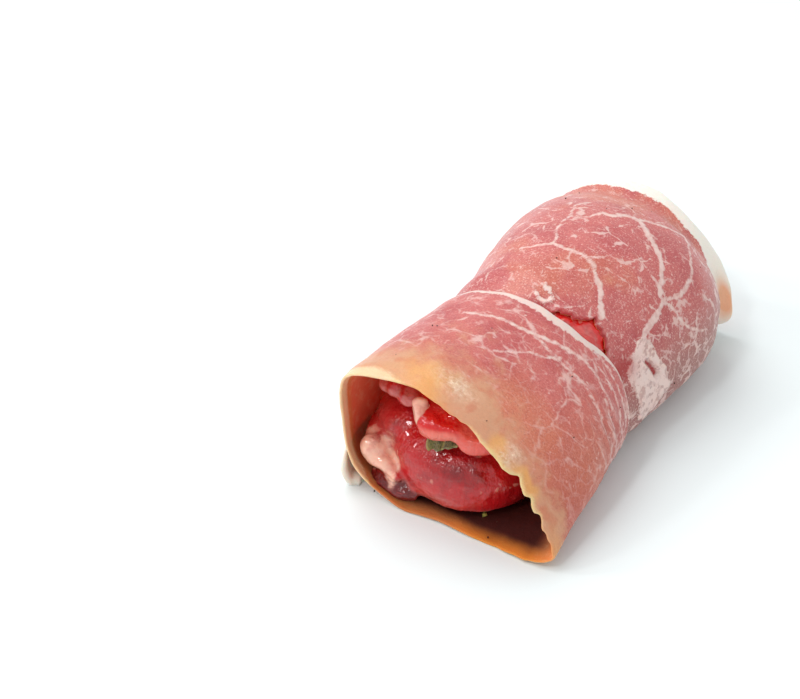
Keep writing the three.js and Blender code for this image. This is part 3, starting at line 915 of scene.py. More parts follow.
def back_paint(turn, place):
    """The back slice's painted values."""
    start, end = back_slice_start(turn), far_rim(turn)
    far_fat = np.interp(turn, FAR_FAT_TURNS, FAR_FAT_PLACES) - place
    patch = fat_patch_distance(turn, place)
    knob = line_distance(wandering(turn, place, 0.4), FAT_CURL, (0.7, 1.0))
    slit = smooth(0.5, 0, line_distance(flat(turn, place), PATCH_SLIT, (0.4, 0.8)))
    torn = tear(turn) * smooth(1.6, 0.2, place - start)
    crack = bump(turn, 0.455, 0.03, 4) * smooth(1.7, 0.9, place - front_slice_end(turn))
    # Painted shade in the hollow beside the fat patch, laid on in the raw red.
    hollow = near(turn, 0.305, 0.022) * smooth(-2, -6, place)
    low_gold = near(turn, 0.235, 0.035) * bump(place, 45.4, 2.2)
    top_gold = 0.35 * bump(np.hypot((turn - 0.42) * GIRTH, place - 4.2), 0, 2.2)
    golden = np.clip(low_gold + top_gold, 0, 1)
    return {
        "vein": vein_distance(turn, place),
        "fatty": np.minimum(np.minimum(far_fat, patch), knob),
        "cream": smooth(2, 0.2, far_fat),
        "warm": 0.6 * smooth(0.15, 0.6, rough_noise(SKIN.point(turn, place), 14, 64)),
        "shine": np.zeros_like(place),
        "tan": golden,
        "gold": golden,
        # The raw red of the slit, the tear and the crack, with the painted shade of the hollow.
        "raw": np.clip(slit + np.maximum(torn, crack) + 0.7 * hollow, 0, 1),
        "mottled": smooth(0.5, -0.8, patch),
        "edge": np.minimum(place - start, end - place),
        "lip": np.zeros_like(place),
        **side_shares(turn),
    }


def no_depth(turn, place, ham):
    """The front slice lies at the roll's outer shape everywhere."""
    return np.zeros_like(place)


def make_slice(name, plan, looks):
    """A ham slice. plan holds its edges, its depth, relief and paint, and its loose end."""
    shell = Shell()
    slice_wrap(shell, plan, looks)
    slice_lap(shell, plan, looks)
    return shell.build(name)


def make_front_slice(looks):
    plan = SimpleNamespace(
        start=front_rim,
        end=front_slice_end,
        depth=no_depth,
        relief=front_relief,
        paint=front_paint,
        lap=FRONT_LAP,
    )
    return make_slice("ham_front", plan, looks)


def make_back_slice(looks):
    plan = SimpleNamespace(
        start=back_slice_start,
        end=far_rim,
        depth=dive,
        relief=back_relief,
        paint=back_paint,
        lap=BACK_LAP,
    )
    return make_slice("ham_back", plan, looks)


# The cutlet

def fold_rise(fold, x, z):
    """How high a fold stands at x and z, from 0 on its outline to 1 in its middle."""
    tilt = math.radians(fold["tilt"])
    cosine, sine = math.cos(tilt), math.sin(tilt)
    u = np.abs(((x - fold["x"]) * cosine + (z - fold["z"]) * sine) / fold["wide"])
    v = np.abs(((z - fold["z"]) * cosine - (x - fold["x"]) * sine) / fold["high"])
    return np.maximum(1 - (u ** VEAL["round"] + v ** VEAL["round"]), 0) ** VEAL["steep"]


def fold_reach(folds, inward, x, z):
    """How far the cutlet's end stands out of its hollow. inward is the share of the way out to the ham."""
    total = 1 + sum(np.exp(fold["reach"] * fold_rise(fold, x, z) / VEAL["blend"]) for fold in folds)
    to_wall = np.maximum((inward - 1 + VEAL["wall"]) / VEAL["wall"], 0)
    return VEAL["blend"] * np.log(total) * np.sqrt(np.maximum(1 - to_wall**2, 0))


def veal_point(inward, turn, place, ham):
    """Points of the cutlet, some share of the way out from its hub to the ham."""
    wall = SKIN.moved(turn, place, -veal_depth(turn, place, ham))
    hub = HUB + np.stack([np.zeros_like(place), place, np.zeros_like(place)], axis=-1)
    return between(hub, wall, inward)


RING_START = 0.15  # where an end's first ring lies, in rings from the ham
RING_SPREAD = 1.15  # over 1 sets the rings closer together beside the ham


def veal_end(hollow, direction, folds, rings, turn, ham):
    """The rings of one end of the cutlet, from the ham to the middle."""
    made = []
    for ring in range(rings):
        inward = 1 - ((ring + RING_START) / rings) ** RING_SPREAD
        guide = veal_point(inward, turn, np.full_like(turn, hollow + direction * GUIDE), ham)
        place = hollow + direction * fold_reach(folds, inward, guide[..., 0], guide[..., 2])
        made.append(veal_point(inward, turn, place, ham))
    return made


def ring_body(rings):
    """A closed body of triangles from rings of points, with a fan over each end."""
    rows, columns, _ = rings.shape
    points = rings.reshape(-1, 3)
    quads = grid_faces(rows, columns, 0, True)
    triangles = [quads[:, [0, 1, 2]], quads[:, [0, 2, 3]]]
    for row in (0, rows - 1):
        line = np.arange(columns) + row * columns
        hub = np.full(columns, len(points))
        points = np.concatenate([points, rings[row].mean(axis=0)[None]])
        following = np.roll(line, -1)
        triangles.append(np.stack([hub, following, line] if row == 0 else [hub, line, following], axis=1))
    triangles = np.concatenate(triangles)
    squashed = np.concatenate([triangles, triangles[:, 2:]], axis=1)
    return points, triangles if signed_volume(points, squashed) > 0 else triangles[:, ::-1]


def make_veal_core(ham):
    """The whole cutlet as one closed body of rings."""
    turn = np.arange(VEAL_COLUMNS) / VEAL_COLUMNS
    places = np.linspace(VEAL["front"], VEAL["far"], VEAL_RINGS["body"])
    body = [veal_point(1.0, turn, np.full_like(turn, place), ham) for place in places]
    front = veal_end(VEAL["front"], -1, FRONT_FOLDS, VEAL_RINGS["front"], turn, ham)
    far = veal_end(VEAL["far"], 1, FAR_FOLDS, VEAL_RINGS["far"], turn, ham)
    return ring_body(np.array([*front[::-1], *body, *far]))


POLE = 0.12  # how far from an egg's poles, in radians, its first and last rings lie


def egg(half_sizes, segments, rings):
    """A closed egg shape round the origin, as points and triangles."""
    up = np.linspace(POLE, np.pi - POLE, rings)[:, None]
    around = np.linspace(0, 2 * np.pi, segments, endpoint=False)
    shape = (np.sin(up) * np.cos(around), np.sin(up) * np.sin(around), np.cos(up) + 0 * around)
    return ring_body(np.stack(shape, axis=-1) * half_sizes)


def through(values, steps):
    """Even steps along a smooth curve through rows of values."""
    values = np.array(values, float)
    last = len(values) - 1
    place = np.linspace(0, last, steps)
    row = np.minimum(place.astype(int), last - 1)
    u = (place - row)[:, None]
    slopes = np.gradient(values, axis=0)
    start, end = values[row], values[row + 1]
    blend = 3 * u**2 - 2 * u**3
    curved = start + (end - start) * blend
    return curved + (u**3 - 2 * u**2 + u) * slopes[row] + (u**3 - u**2) * slopes[row + 1]


STRAND_STEPS = 40
STRAND_SIDES = 24


def strand(path, flatness):
    """A closed, round-ended strand through points that each carry a radius."""
    curve = through(path, STRAND_STEPS)
    middle, radius = curve[:, :3], curve[:, 3]
    along = np.gradient(middle, axis=0)
    along /= np.linalg.norm(along, axis=1, keepdims=True)
    side = np.cross(along, (0, 0, 1))
    side /= np.linalg.norm(side, axis=1, keepdims=True)
    up = np.cross(side, along)
    run = np.concatenate([[0], np.cumsum(np.linalg.norm(np.diff(middle, axis=0), axis=1))])
    from_end = np.clip(np.minimum(run, run[-1] - run) / radius, 0.02, 1)
    full = (radius * np.sqrt(1 - (1 - from_end) ** 2))[:, None, None]
    around = np.linspace(0, 2 * np.pi, STRAND_SIDES, endpoint=False)[None, :, None]
    ring = side[:, None] * np.cos(around) * flatness + up[:, None] * np.sin(around)
    return ring_body(middle[:, None] + ring * full)


# Lips, flaps and lumps of the cutlet in the mouth, fused with its folds. Each is a path of points with the
# radius there, and flatness is its width over its height.
VEAL_STRANDS = {
    "lip": {
        "flatness": 0.9,
        "path": (
            (-8.4, -43.8, 24.0, 1.9),
            (-6.4, -45.4, 21.9, 2.9),
            (-3.8, -45.9, 21.4, 2.7),
            (-1.2, -45.4, 21.5, 2.3),
            (1.0, -45.0, 20.8, 2.0),
            (3.0, -44.9, 19.3, 2.1),
            (5.0, -44.6, 19.6, 2.2),
            (8.6, -43.2, 20.6, 2.0),
        ),
    },
    "fat tip": {
        "flatness": 0.75,
        "path": (
            (-7.0, -44.8, 26.6, 1.2),
            (-8.6, -45.4, 25.2, 1.9),
            (-8.0, -46.3, 22.9, 1.5),
            (-7.2, -46.6, 21.4, 0.9),
        ),
    },
    "left pleat": {
        "flatness": 1.1,
        "path": ((-19.4, -35.0, 25.0, 1.8), (-19.0, -40.0, 24.4, 1.9), (-18.4, -42.6, 23.0, 1.5)),
    },
    "middle pleat": {
        "flatness": 1.0,
        "path": ((-16.4, -35.0, 26.4, 1.8), (-16.2, -40.8, 25.6, 1.9), (-16.4, -43.4, 23.4, 1.5)),
    },
    "right pleat": {
        "flatness": 1.5,
        "path": ((-12.6, -35.0, 24.4, 1.9), (-12.8, -41.4, 23.8, 2.0), (-12.6, -43.8, 22.4, 1.5)),
    },
    "knob": {
        "flatness": 1.0,
        "path": ((-22.3, -44.2, 9.2, 2.8), (-20.4, -44.9, 9.6, 3.5), (-17.8, -45.3, 8.8, 3.1)),
    },
    "low fat": {
        "flatness": 1.1,
        "path": (
            (-21.4, -45.0, 7.4, 1.6),
            (-19.0, -45.8, 7.6, 2.0),
            (-16.2, -46.3, 7.4, 1.7),
            (-14.0, -46.8, 6.2, 1.2),
            (-11.8, -47.4, 4.6, 0.8),
        ),
    },
    "low tissue": {
        "flatness": 1.0,
        "path": (
            (-20.6, -44.4, 3.0, 1.9),
            (-16.6, -46.0, 2.6, 1.9),
            (-11.6, -47.0, 2.2, 1.6),
            (-7.6, -47.0, 1.9, 1.0),
        ),
    },
    "dark ridge": {
        "flatness": 0.8,
        "path": ((-18.6, -45.6, 4.6, 1.0), (-15.4, -46.9, 4.4, 1.1), (-12.4, -47.6, 3.4, 0.9)),
    },
}
PLEATS = ("left pleat", "middle pleat", "right pleat")
# Soft spots of fat and tissue, and of painted shade, on the cutlet: strength, middle and half sizes.
FAT_STREAKS = ((0.45, (-16.4, -46, 12.5), (2.2, 6, 4)), (0.6, (-14.0, -47.5, 5.6), (1.6, 6, 3.4)))
FAT_KNOB = ((1.6, (-21.2, -45.8, 9.4), (3.2, 4, 3.3)), (1.5, (-18.2, -46.4, 7.8), (3.6, 4, 1.7)))
MEMBRANE = ((0.6, (-19.5, -44, 14), (3, 7, 3)), (0.75, (-4, -48, 3.6), (7, 6, 3)))
FRINGE = (
    (1.0, (-14.0, -47.5, 6.0), (1.9, 5, 1.1)),
    (1.0, (-11.5, -48.0, 4.2), (1.9, 5, 1.1)),
    (1.0, (-8.8, -48.4, 2.8), (1.9, 5, 1.1)),
)
MIDDLE_SHADE = ((0.5, (1, -48, 12.0), (9, 7, 3.6)),)
WET_TOP = ((1.5, (-10, -47, 15.0), (10, 8, 6)),)
FOLD_MERGE = 2.0  # how softly the folds' colours run into each other


def join_bodies(bodies):
    """The points and triangles of several bodies as those of one."""
    points, triangles, first = [], [], 0
    for body_points, body_triangles in bodies:
        points.append(body_points)
        triangles.append(body_triangles + first)
        first += len(body_points)
    return np.concatenate(points), np.concatenate(triangles)


def apply_modifier(piece, kind, **settings):
    """Adds a modifier and keeps its result as the piece's mesh."""
    modifier = piece.modifiers.new(kind.lower(), kind)
    for name, value in settings.items():
        setattr(modifier, name, value)
    depsgraph = bpy.context.evaluated_depsgraph_get()
    made = bpy.data.meshes.new_from_object(piece.evaluated_get(depsgraph))
    piece.modifiers.clear()
    old = piece.data
    piece.data = made
    bpy.data.meshes.remove(old)
    made.polygons.foreach_set("use_smooth", np.ones(len(made.polygons), dtype=bool))


def point_normals(piece):
    normals = np.empty(len(piece.data.vertices) * 3, np.float32)
    piece.data.vertex_normals.foreach_get("vector", normals)
    return normals.reshape(-1, 3).astype(float)


def strand_spot(points, path):
    """1 on the strand along a path, fading to 0 a little way off it."""
    nearest = np.full(len(points), FAR_AWAY)
    path = np.array(path, float)
    for first, second in zip(path, path[1:]):
        apart, u = segment_distance(points, first[:3], second[:3])
        nearest = np.minimum(nearest, apart / between(first[3], second[3], u))
    return smooth(1.35, 1.02, nearest)


def fold_shares(points):
    """How much each front fold makes of the cutlet's end at points."""
    x, _, z = points.T
    heights = [np.exp(fold["reach"] * fold_rise(fold, x, z) / FOLD_MERGE) for fold in FRONT_FOLDS]
    total = 1 + sum(heights)
    mouth = smooth(-33, -37, points[:, 1])
    return {fold["name"]: mouth * height / total for fold, height in zip(FRONT_FOLDS, heights)}


def beside_tear(points):
    """Where the cutlet shows in the tear of the ham, and the bright crack along the torn edge."""
    turns = np.linspace(0.3, 0.5, 60)
    turn = np.interp(points[:, 0], SKIN.point(turns, TEAR["place"])[::-1, 0], turns[::-1])
    from_edge = back_slice_start(turn) - points[:, 1]
    torn = smooth(20, 24, points[:, 2]) * tear(turn) * smooth(-1.5, 0, from_edge) * smooth(9, 6, from_edge)
    return torn, torn * smooth(2.0, 0.9, from_edge + 0.8 * soft_noise(points, 1.5, 84))


def ridged(points, size, seed):
    """Sharp ridges with round valleys between them, from 0 to 1."""
    return 1 - np.abs(soft_noise(points, size, seed)) * 2


def veal_relief(points, looks):
    """Soft lumps all over, wrinkles in the low tissue, and the rough veal under the tear."""
    x, y, z = points.T
    mouth = smooth(-30, -38, y) + smooth(38, 41, y)
    lumps = rough_noise(points, 5.5, 71) + 0.5 * rough_noise(points * (0.45, 1.0, 1.0), 1.6, 77, 2)
    low = smooth(6.0, 3.6, z) * smooth(-5, -11, x)
    wrinkles = low * (0.9 * ridged(points * (0.6, 1.0, 1.4), 2.4, 75) - 0.5)
    upper = smooth(17.5, 19.5, z) * smooth(-11, -9, x) * 0.6 * soft_noise(points, 2.2, 79)
    torn, _ = beside_tear(points)
    rough = torn * (0.5 * rough_noise(points, 1.8, 76, 2) - 0.2)
    return mouth * (looks.relief / MM * lumps + 0.5 * (wrinkles + upper)) + rough


def veal_dark(points, wander, on, knob):
    """How dark the cutlet is: dark tissue under its fold, and painted shade deep in the mouth, toward the
    right and in the middle.
    """
    x, y, z = points.T
    wander_x, _, wander_z = wander.T
    low = smooth(6.2, 4.8, wander_z + 0.3 * (wander_x + 14)) * smooth(-5, -10, wander_x)
    tissue = on["low tissue"] * smooth(-4, -9, wander_x)
    under_fold = np.maximum.reduce([low, tissue, on["dark ridge"]]) * (1 - knob)
    # Painted shade deep in the mouth, toward the right, and in the middle of the main fold.
    deep = smooth(-44, -36, y) * smooth(10, 4, z) * smooth(-20, -30, y)
    right_shade = 0.5 * smooth(7, 13, x) * smooth(-30, -36, y)
    return np.maximum.reduce([under_fold, deep, right_shade, hazes(wander, MIDDLE_SHADE)])


def veal_paint(points):
    """How pale, dull, dark, bright, wet and coral the cutlet is at its points."""
    shares = fold_shares(points)
    wander = points + 0.8 * np.stack([soft_noise(points, 2.4, seed) for seed in (81, 82, 83)], axis=-1)
    painted_strands = ("lip", "fat tip", "low tissue", "dark ridge", *PLEATS)
    on = {name: strand_spot(wander, VEAL_STRANDS[name]["path"]) for name in painted_strands}
    x, _, z = wander.T
    knob = np.clip(hazes(wander, FAT_KNOB), 0, 1)
    flap = np.maximum.reduce([on[name] for name in PLEATS]) * smooth(19.5, 21, z)
    fringe = hazes(wander, FRINGE)
    low_skin = np.maximum(0.4 * shares["main"] * smooth(4.0, 1.4, z), 0.6 * np.clip(fringe, 0, 1))
    torn, crack = beside_tear(points)
    upper = np.maximum(shares["upper"], on["lip"]) * smooth(17.5, 18.6, z)
    pale = 1.2 * knob + 1.3 * on["fat tip"] + 0.15 * flap + hazes(wander, FAT_STREAKS) + 0.2 * fringe
    dull = flap + hazes(wander, MEMBRANE) + low_skin + 0.55 * (torn - crack)
    coral = upper * np.maximum(smooth(22.8, 21.2, z) * smooth(2.5, 0.5, x), 0.6 * smooth(0, 2, x))
    return {
        "pale": np.clip(pale, 0, 1),
        "dull": np.clip(dull, 0, 1),
        "dark": np.clip(veal_dark(points, wander, on, knob), 0, 1),
        "bright": np.clip(upper + crack, 0, 1),
        "wet": np.clip(hazes(wander, WET_TOP), 0, 1),
        "coral": np.clip(coral, 0, 1),
    }


def make_cutlet(looks, ham):
    """The whole cutlet: its core and strands fused into one mesh, smoothed, roughened and painted."""
    strands = [strand(made["path"], made["flatness"]) for made in VEAL_STRANDS.values()]
    points, triangles = join_bodies([make_veal_core(ham), *strands])
    piece = make_object("cutlet", points, triangles)
    apply_modifier(piece, "REMESH", mode="VOXEL", voxel_size=looks.spacing, use_smooth_shade=True)
    apply_modifier(piece, "SMOOTH", factor=0.5, iterations=4)
    points = table_points(piece)
    moved = points + point_normals(piece) * veal_relief(points, looks)[:, None]
    moved[:, 2] = np.maximum(moved[:, 2], VEAL_LOWEST)
    move_points(piece, moved)
    set_paint(piece, veal_paint(moved))
    return piece


# The leaf, specks and crumbs

LEAF_ROWS = 150
LEAF_COLUMNS = 45
TIP_CROWDING = 1.4  # over 1 sets the rows closer together toward the leaf's tip
EDGE_CROWDING = 0.8  # under 1 sets the columns closer together toward its edges
LEAF_ROUND = 0.5  # how far from its edge the leaf is rounded
LEAF_THIN = 0.9  # 1 would bring its edge down to a knife edge


def leaf_outline(along):
    """The leaf's width along it as a share of the widest, from its blunt tip to the stalk."""
    return np.sin(np.pi * np.minimum(between(LEAF_BLUNT, 1, along), 0.99)) ** 0.75


def leaf_sheet(looks):
    """The points of the leaf's middle sheet, how far across it they are, and how far from its edge."""
    size, width = looks.length / MM, looks.width / MM
    along = (np.linspace(0, 1, LEAF_ROWS) ** TIP_CROWDING)[:, None]
    side = np.linspace(-1, 1, LEAF_COLUMNS)
    side = np.sign(side) * np.abs(side) ** EDGE_CROWDING
    outline = leaf_outline(along)
    scallop = 1 + LEAF_SCALLOP["depth"] * np.sin(LEAF_SCALLOP["rate"] * along + LEAF_SCALLOP["slant"] * side)
    across = 0.5 * width * outline * side * scallop
    inward = smooth(0, LEAF["bend"], along)
    slope = np.tan(np.radians(between(LEAF["droop"], LEAF["tilt"], inward)))
    waves = looks.ripple / MM * np.sin(9 * along + across / 3)
    curled = (1 - smooth(0, LEAF_CURL["length"], along * size)) * between(1.1, 0.6, smooth(-3, 3, across))
    frill = LEAF_FRILL["height"] * curled * np.sin(LEAF_FRILL["rate"] * across + LEAF_FRILL["start"])
    level = between(LEAF["tip_z"], LEAF["inner_z"], inward) + waves
    height = level + across * slope - LEAF_CURL["drop"] * curled
    place = LEAF["tip"] + along * size + LEAF_CURL["back"] * curled**2 + frill
    edge = (1 - np.abs(side)) * outline * width / 2
    return np.stack([LEAF["x"] + across, place, height], axis=-1), across, edge


def make_leaf(looks):
    """The whole leaf, pebbled, with a midrib and rounded edges."""
    points, across, edge = leaf_sheet(looks)
    pebbles = layered_noise(points, ((0.07, 1.1, 91), (0.05, 0.6, 92)))
    midrib = -0.16 * bump(across, 0, 0.35)
    full = np.sqrt(1 - LEAF_THIN * (1 - np.clip(edge / LEAF_ROUND, 0, 1)) ** 2)
    half = looks.thickness / MM / 2 * full
    top, bottom = points.copy(), points.copy()
    top[..., 2] += pebbles + midrib + half
    bottom[..., 2] += pebbles + midrib - half
    paint = {"edge": edge, "midrib": np.abs(across)}
    shell = Shell()
    shell.add(top, bottom, paint, paint, is_round=False)
    return shell.build("sage")


# Specks that show in the picture, as turns and places along the roll, and as points on the slice's floor.
NAMED_SPECKS = ((0.577, -29.2), (0.569, -29.2), (0.448, 37.2), (0.211, 8.1), (0.273, -19.2), (0.27, -15.0))
FLOOR_SPECKS = ((-17.4, -48.9, 1.2), (10.4, -49.4, 1.0), (20.2, -49.2, 1.2), (9.8, -44.2, 1.0))
# Where the scattered specks lie, and the range of their sizes as shares of the usual one.
SPECK_TURNS = (0.15, 0.85)
SPECK_PLACES = (-46, 40)
SPECK_SIZES = (0.5, 1.1)
FLOOR_SPECK_SIZE = 1.3
NAMED_LIFT = 0.12  # how high over the roll's outer shape the middle of a named speck lies
SPECK_LIFT = 0.1  # the same for a scattered speck, over the slice under it
SPECK_SIDES = 7
SPECK_RINGS = 5
CRUMBS = ((6.6, -43.9, 1.5),)
CRUMB_SIZE = 0.6


def speck(middle, size, generator):
    """A small rough lump as points and triangles."""
    stretch = generator.uniform(0.6, 1.25, 3)
    points, triangles = egg(size * stretch, SPECK_SIDES, SPECK_RINGS)
    points = points * (1 + 0.22 * generator.standard_normal((len(points), 1))) + middle
    return points, triangles


def make_pepper(looks, ham):
    generator = np.random.default_rng(looks.seed)
    size = looks.size / MM
    places = [SKIN.moved(np.array(turn), np.array(place), NAMED_LIFT) for turn, place in NAMED_SPECKS]
    for _ in range(looks.count):
        turn, place = generator.uniform(*SPECK_TURNS), generator.uniform(*SPECK_PLACES)
        slice_end = front_slice_end(turn) - 1
        depth = 0.0 if place < slice_end else float(dive(turn, place, ham))
        in_tear = slice_end < place < back_slice_start(turn) + 0.6
        if not in_tear:
            places.append(SKIN.moved(np.array(turn), np.array(place), SPECK_LIFT - depth))
    bodies = [speck(place, size * generator.uniform(*SPECK_SIZES), generator) for place in places]
    bodies += [speck(np.array(place), size * FLOOR_SPECK_SIZE, generator) for place in FLOOR_SPECKS]
    points, triangles = join_bodies(bodies)
    return make_object("pepper", points, triangles)


def make_crumbs(looks):
    generator = np.random.default_rng(looks.seed + 1)
    points, triangles = join_bodies([speck(np.array(at), CRUMB_SIZE, generator) for at in CRUMBS])
    return make_object("sage_crumbs", points, triangles)


# Materials

def is_vector(value):
    return isinstance(value, Signal) and value.socket.type == "VECTOR"


def as_vector(value):
    """A bare number as a vector that holds it three times, and anything else as it is."""
    return (value,) * 3 if isinstance(value, (int, float)) else value


class Signal:
    """A shader socket that takes part in Python arithmetic."""

    def __init__(self, finish, socket):
        self.finish = finish
        self.socket = socket

    def join(self, operation, first, second):
        """Adds a Math node, or a Vector Math node where one of the two is a vector."""
        kind = "ShaderNodeMath"
        if is_vector(first) or is_vector(second):
            kind = "ShaderNodeVectorMath"
            first, second = as_vector(first), as_vector(second)
        return self.finish.node(kind, {"operation": operation}, {0: first, 1: second})

    def __add__(self, other):
        return self.join("ADD", self, other)

    def __radd__(self, other):
        return self.join("ADD", other, self)

    def __sub__(self, other):
        return self.join("SUBTRACT", self, other)

    def __rsub__(self, other):
        return self.join("SUBTRACT", other, self)

    def __mul__(self, other):
        return self.join("MULTIPLY", self, other)

    def __rmul__(self, other):
        return self.join("MULTIPLY", other, self)

    def least(self, other):
        return self.join("MINIMUM", self, other)

    def most(self, other):
        return self.join("MAXIMUM", self, other)

    def rise(self, low, high):
        """A soft step from 0 at low to 1 at high."""
        limits = {"Value": self, "From Min": low, "From Max": high}
        return self.finish.node("ShaderNodeMapRange", {"interpolation_type": "SMOOTHSTEP"}, limits)


# The colour sockets of Blender's Mix node, by their places in its lists.
MIX_FIRST = 6
MIX_SECOND = 7
MIX_RESULT = 2


class Finish:
    """A material and the nodes that make it."""

    def __init__(self, name, subsurface=0.0, radius=(1, 0.4, 0.3), depth=1.0, coat_roughness=0.1, ior=1.4):
        self.material = bpy.data.materials.new(name)
        self.material.use_nodes = True
        self.tree = self.material.node_tree
        self.tree.nodes.clear()
        output = self.tree.nodes.new("ShaderNodeOutputMaterial")
        self.shader = self.tree.nodes.new("ShaderNodeBsdfPrincipled")
        self.tree.links.new(self.shader.outputs[0], output.inputs[0])
        fixed = {
            "Subsurface Weight": subsurface,
            "Subsurface Radius": radius,
            "Subsurface Scale": depth * MM,
            "Coat Roughness": coat_roughness,
            "IOR": ior,
        }
        self.set(fixed)

    def set(self, values):
        for name, value in values.items():
            self.feed(self.shader.inputs[name], value)

    def feed(self, socket, value):
        if isinstance(value, Signal):
            self.tree.links.new(value.socket, socket)
        elif socket.type == "RGBA" and len(value) == 3:
            socket.default_value = (*value, 1)
        else:
            socket.default_value = value

    def node(self, kind, settings=None, inputs=None, output=0):
        """Adds a node: its settings first, then the values or links of its sockets."""
        made = self.tree.nodes.new(kind)
        for name, value in (settings or {}).items():
            setattr(made, name, value)
        for key, value in (inputs or {}).items():
            self.feed(made.inputs[key], value)
        return Signal(self, made.outputs[output])

    def place(self):
        """The point on the object in millimetres."""
        return self.node("ShaderNodeTexCoord", output="Object") * (1 / MM)

    def painted(self, name):
        return self.node("ShaderNodeAttribute", {"attribute_name": name}, output="Fac")

    def noise(self, place, size, detail=2.0, roughness=0.5):
        inputs = {"Vector": place, "Scale": 1 / size, "Detail": detail, "Roughness": roughness}
        return self.node("ShaderNodeTexNoise", inputs=inputs)

    def push(self, place, size, amount):
        """Places pushed about by noise, so that patterns wander."""
        inputs = {"Vector": place, "Scale": 1 / size, "Detail": 2.0}
        noise = self.node("ShaderNodeTexNoise", inputs=inputs, output="Color")
        centred = self.node("ShaderNodeVectorMath", {"operation": "SUBTRACT"}, {0: noise, 1: (0.5, 0.5, 0.5)})
        return place + centred * (2 * amount)

    def cell_edges(self, place, size):
        """The distance to the nearest wall between cells, in millimetres for cells of that size."""
        inputs = {"Vector": place, "Scale": 1 / size}
        edge = self.node("ShaderNodeTexVoronoi", {"feature": "DISTANCE_TO_EDGE"}, inputs)
        return edge * size

    def cell_dots(self, place, size):
        """The distance to the nearest cell's middle in millimetres, and the cell's own random number."""
        inputs = {"Vector": place, "Scale": 1 / size}
        distance = self.node("ShaderNodeTexVoronoi", {"feature": "F1"}, inputs, "Distance")
        tone = self.node("ShaderNodeTexVoronoi", {"feature": "F1"}, inputs, "Color")
        chance = self.node("ShaderNodeSeparateColor", inputs={"Color": tone}, output="Red")
        return distance * size, chance

    def mix(self, first, second, amount):
        """A colour between two others."""
        inputs = {"Factor": amount, MIX_FIRST: first, MIX_SECOND: second}
        settings = {"data_type": "RGBA", "clamp_factor": True}
        return self.node("ShaderNodeMix", settings, inputs, MIX_RESULT)

    def shade(self, tone, factor):
        """A colour made darker or lighter by a factor."""
        grey = self.node("ShaderNodeCombineColor", inputs={"Red": factor, "Green": factor, "Blue": factor})
        settings = {"data_type": "RGBA", "blend_type": "MULTIPLY"}
        inputs = {"Factor": 1.0, MIX_FIRST: tone, MIX_SECOND: grey}
        return self.node("ShaderNodeMix", settings, inputs, MIX_RESULT)

    def bumps(self, *layers):
        """A surface roughened by layers of height, each with its depth in millimetres."""
        total = sum(height * depth for height, depth in layers)
        inputs = {"Height": total, "Distance": MM, "Strength": 1.0}
        return self.node("ShaderNodeBump", inputs=inputs)


# Shades that the finishes mix in beside the panel's colours.
HAM_SHADES = {
    "grain": srgb(158, 62, 64),
    "raw": srgb(164, 32, 34),
    "rim": srgb(204, 128, 92),
    # the colour of the painted highlight on the rim's glossy patches
    "shine": srgb(254, 232, 204),
    "patch specks": srgb(160, 98, 90),
    "stained fat": srgb(228, 152, 92),
    "near wall": srgb(236, 148, 88),
    "deep wall": srgb(246, 128, 92),
    "wall fibres": srgb(255, 206, 160),
    "near floor": srgb(196, 118, 60),
    "deep floor": srgb(62, 12, 5),
    "right lip": srgb(244, 212, 156),
    # the left lip's colour, lighter as painted light shining through the thin edge
    "left lip with painted glow": srgb(255, 220, 178),
}
VEAL_SHADES = {"deep": srgb(150, 26, 34), "blood": srgb(206, 96, 96)}
LEAF_DEEP = srgb(80, 82, 42)

# How far the marbling is drawn out and softened round the roll, how much darker and more veined the lean low
# on the right side is, and how gritty the lean is with fine fat and painted sparkle.
FRONT_HAM = {"drawn": 1.4, "low_side_weight": 0.3, "grit": 0.4}
BACK_HAM = {"drawn": 1.0, "low_side_weight": 0.85, "grit": 1.0}
HAM_VALUES = (
    "vein",
    "fatty",
    "mottled",
    "cream",
    "inside",
    "tan",
    "gold",
    "raw",
    "low",
    "warm",
    "shine",
    "edge",
    "under",
    "lip",
)


def marbling(finish, place, cell, softness, extra):
    """How much fat shows in the net of veins, dashes and flecks, from 0 to 1. Veins swell and die away.

    extra widens the veins where it is over 0.
    """
    wandered = finish.push(finish.push(place, 7.0, 2.4), 1.6, 0.45)
    feathered = finish.push(wandered, 0.45, 0.16)
    patchy = finish.noise(place + (31.0, 7.0, 3.0), 9.0, 2.0)
    fullness = finish.noise(place + (5.0, 17.0, 43.0), 2.6, 3.0, 0.55)
    wide = finish.cell_edges(feathered, cell) - (fullness - 0.5) * 2.2 - (patchy - 0.5) * 1.4 - extra
    wide_vein = wide.rise(softness, -softness) * 0.85
    narrow = finish.cell_edges(feathered + (13.0, 3.0, 9.0), cell * 0.4) - (fullness - 0.54) * 1.6 - extra
    narrow_vein = narrow.rise(softness * 0.8, -softness * 0.8) * 0.6
    splotches = finish.noise(feathered + (2.0, 2.0, 60.0), 2.0, 5.0, 0.72)
    splotched = splotches.rise(0.63, 0.7) * fullness.rise(0.46, 0.62) * 0.6
    apart, chance = finish.cell_dots(feathered * (1.0, 0.7, 1.0), 1.5)
    flecks = (apart - chance.rise(0.5, 1.0) * 0.3).rise(0.16, -0.12) * chance.rise(0.5, 0.6) * 0.8
    return wide_vein.most(narrow_vein).most(splotched).most(flecks * patchy.rise(0.35, 0.5))


def ham_noises(finish, place):
    """The noise that several parts of the ham's finish share."""
    return SimpleNamespace(
        ragged=(finish.noise(place, 1.0, 4.0, 0.65) - 0.5) * 3.0,
        broken=finish.noise(place + (3.0, 9.0, 1.0), 1.6, 3.0),
        fibres=finish.noise(finish.push(place, 3.0, 1.0) * (1.0, 0.4, 0.5), 0.9, 3.0, 0.6),
        soft=finish.noise(place, 10.0, 3.0),
        grain=finish.noise(place * (1.0, 1.8, 1.0), 0.5, 3.0, 0.7),
        crinkled=finish.noise(finish.push(place, 0.8, 0.3), 0.7, 3.0, 0.7),
    )


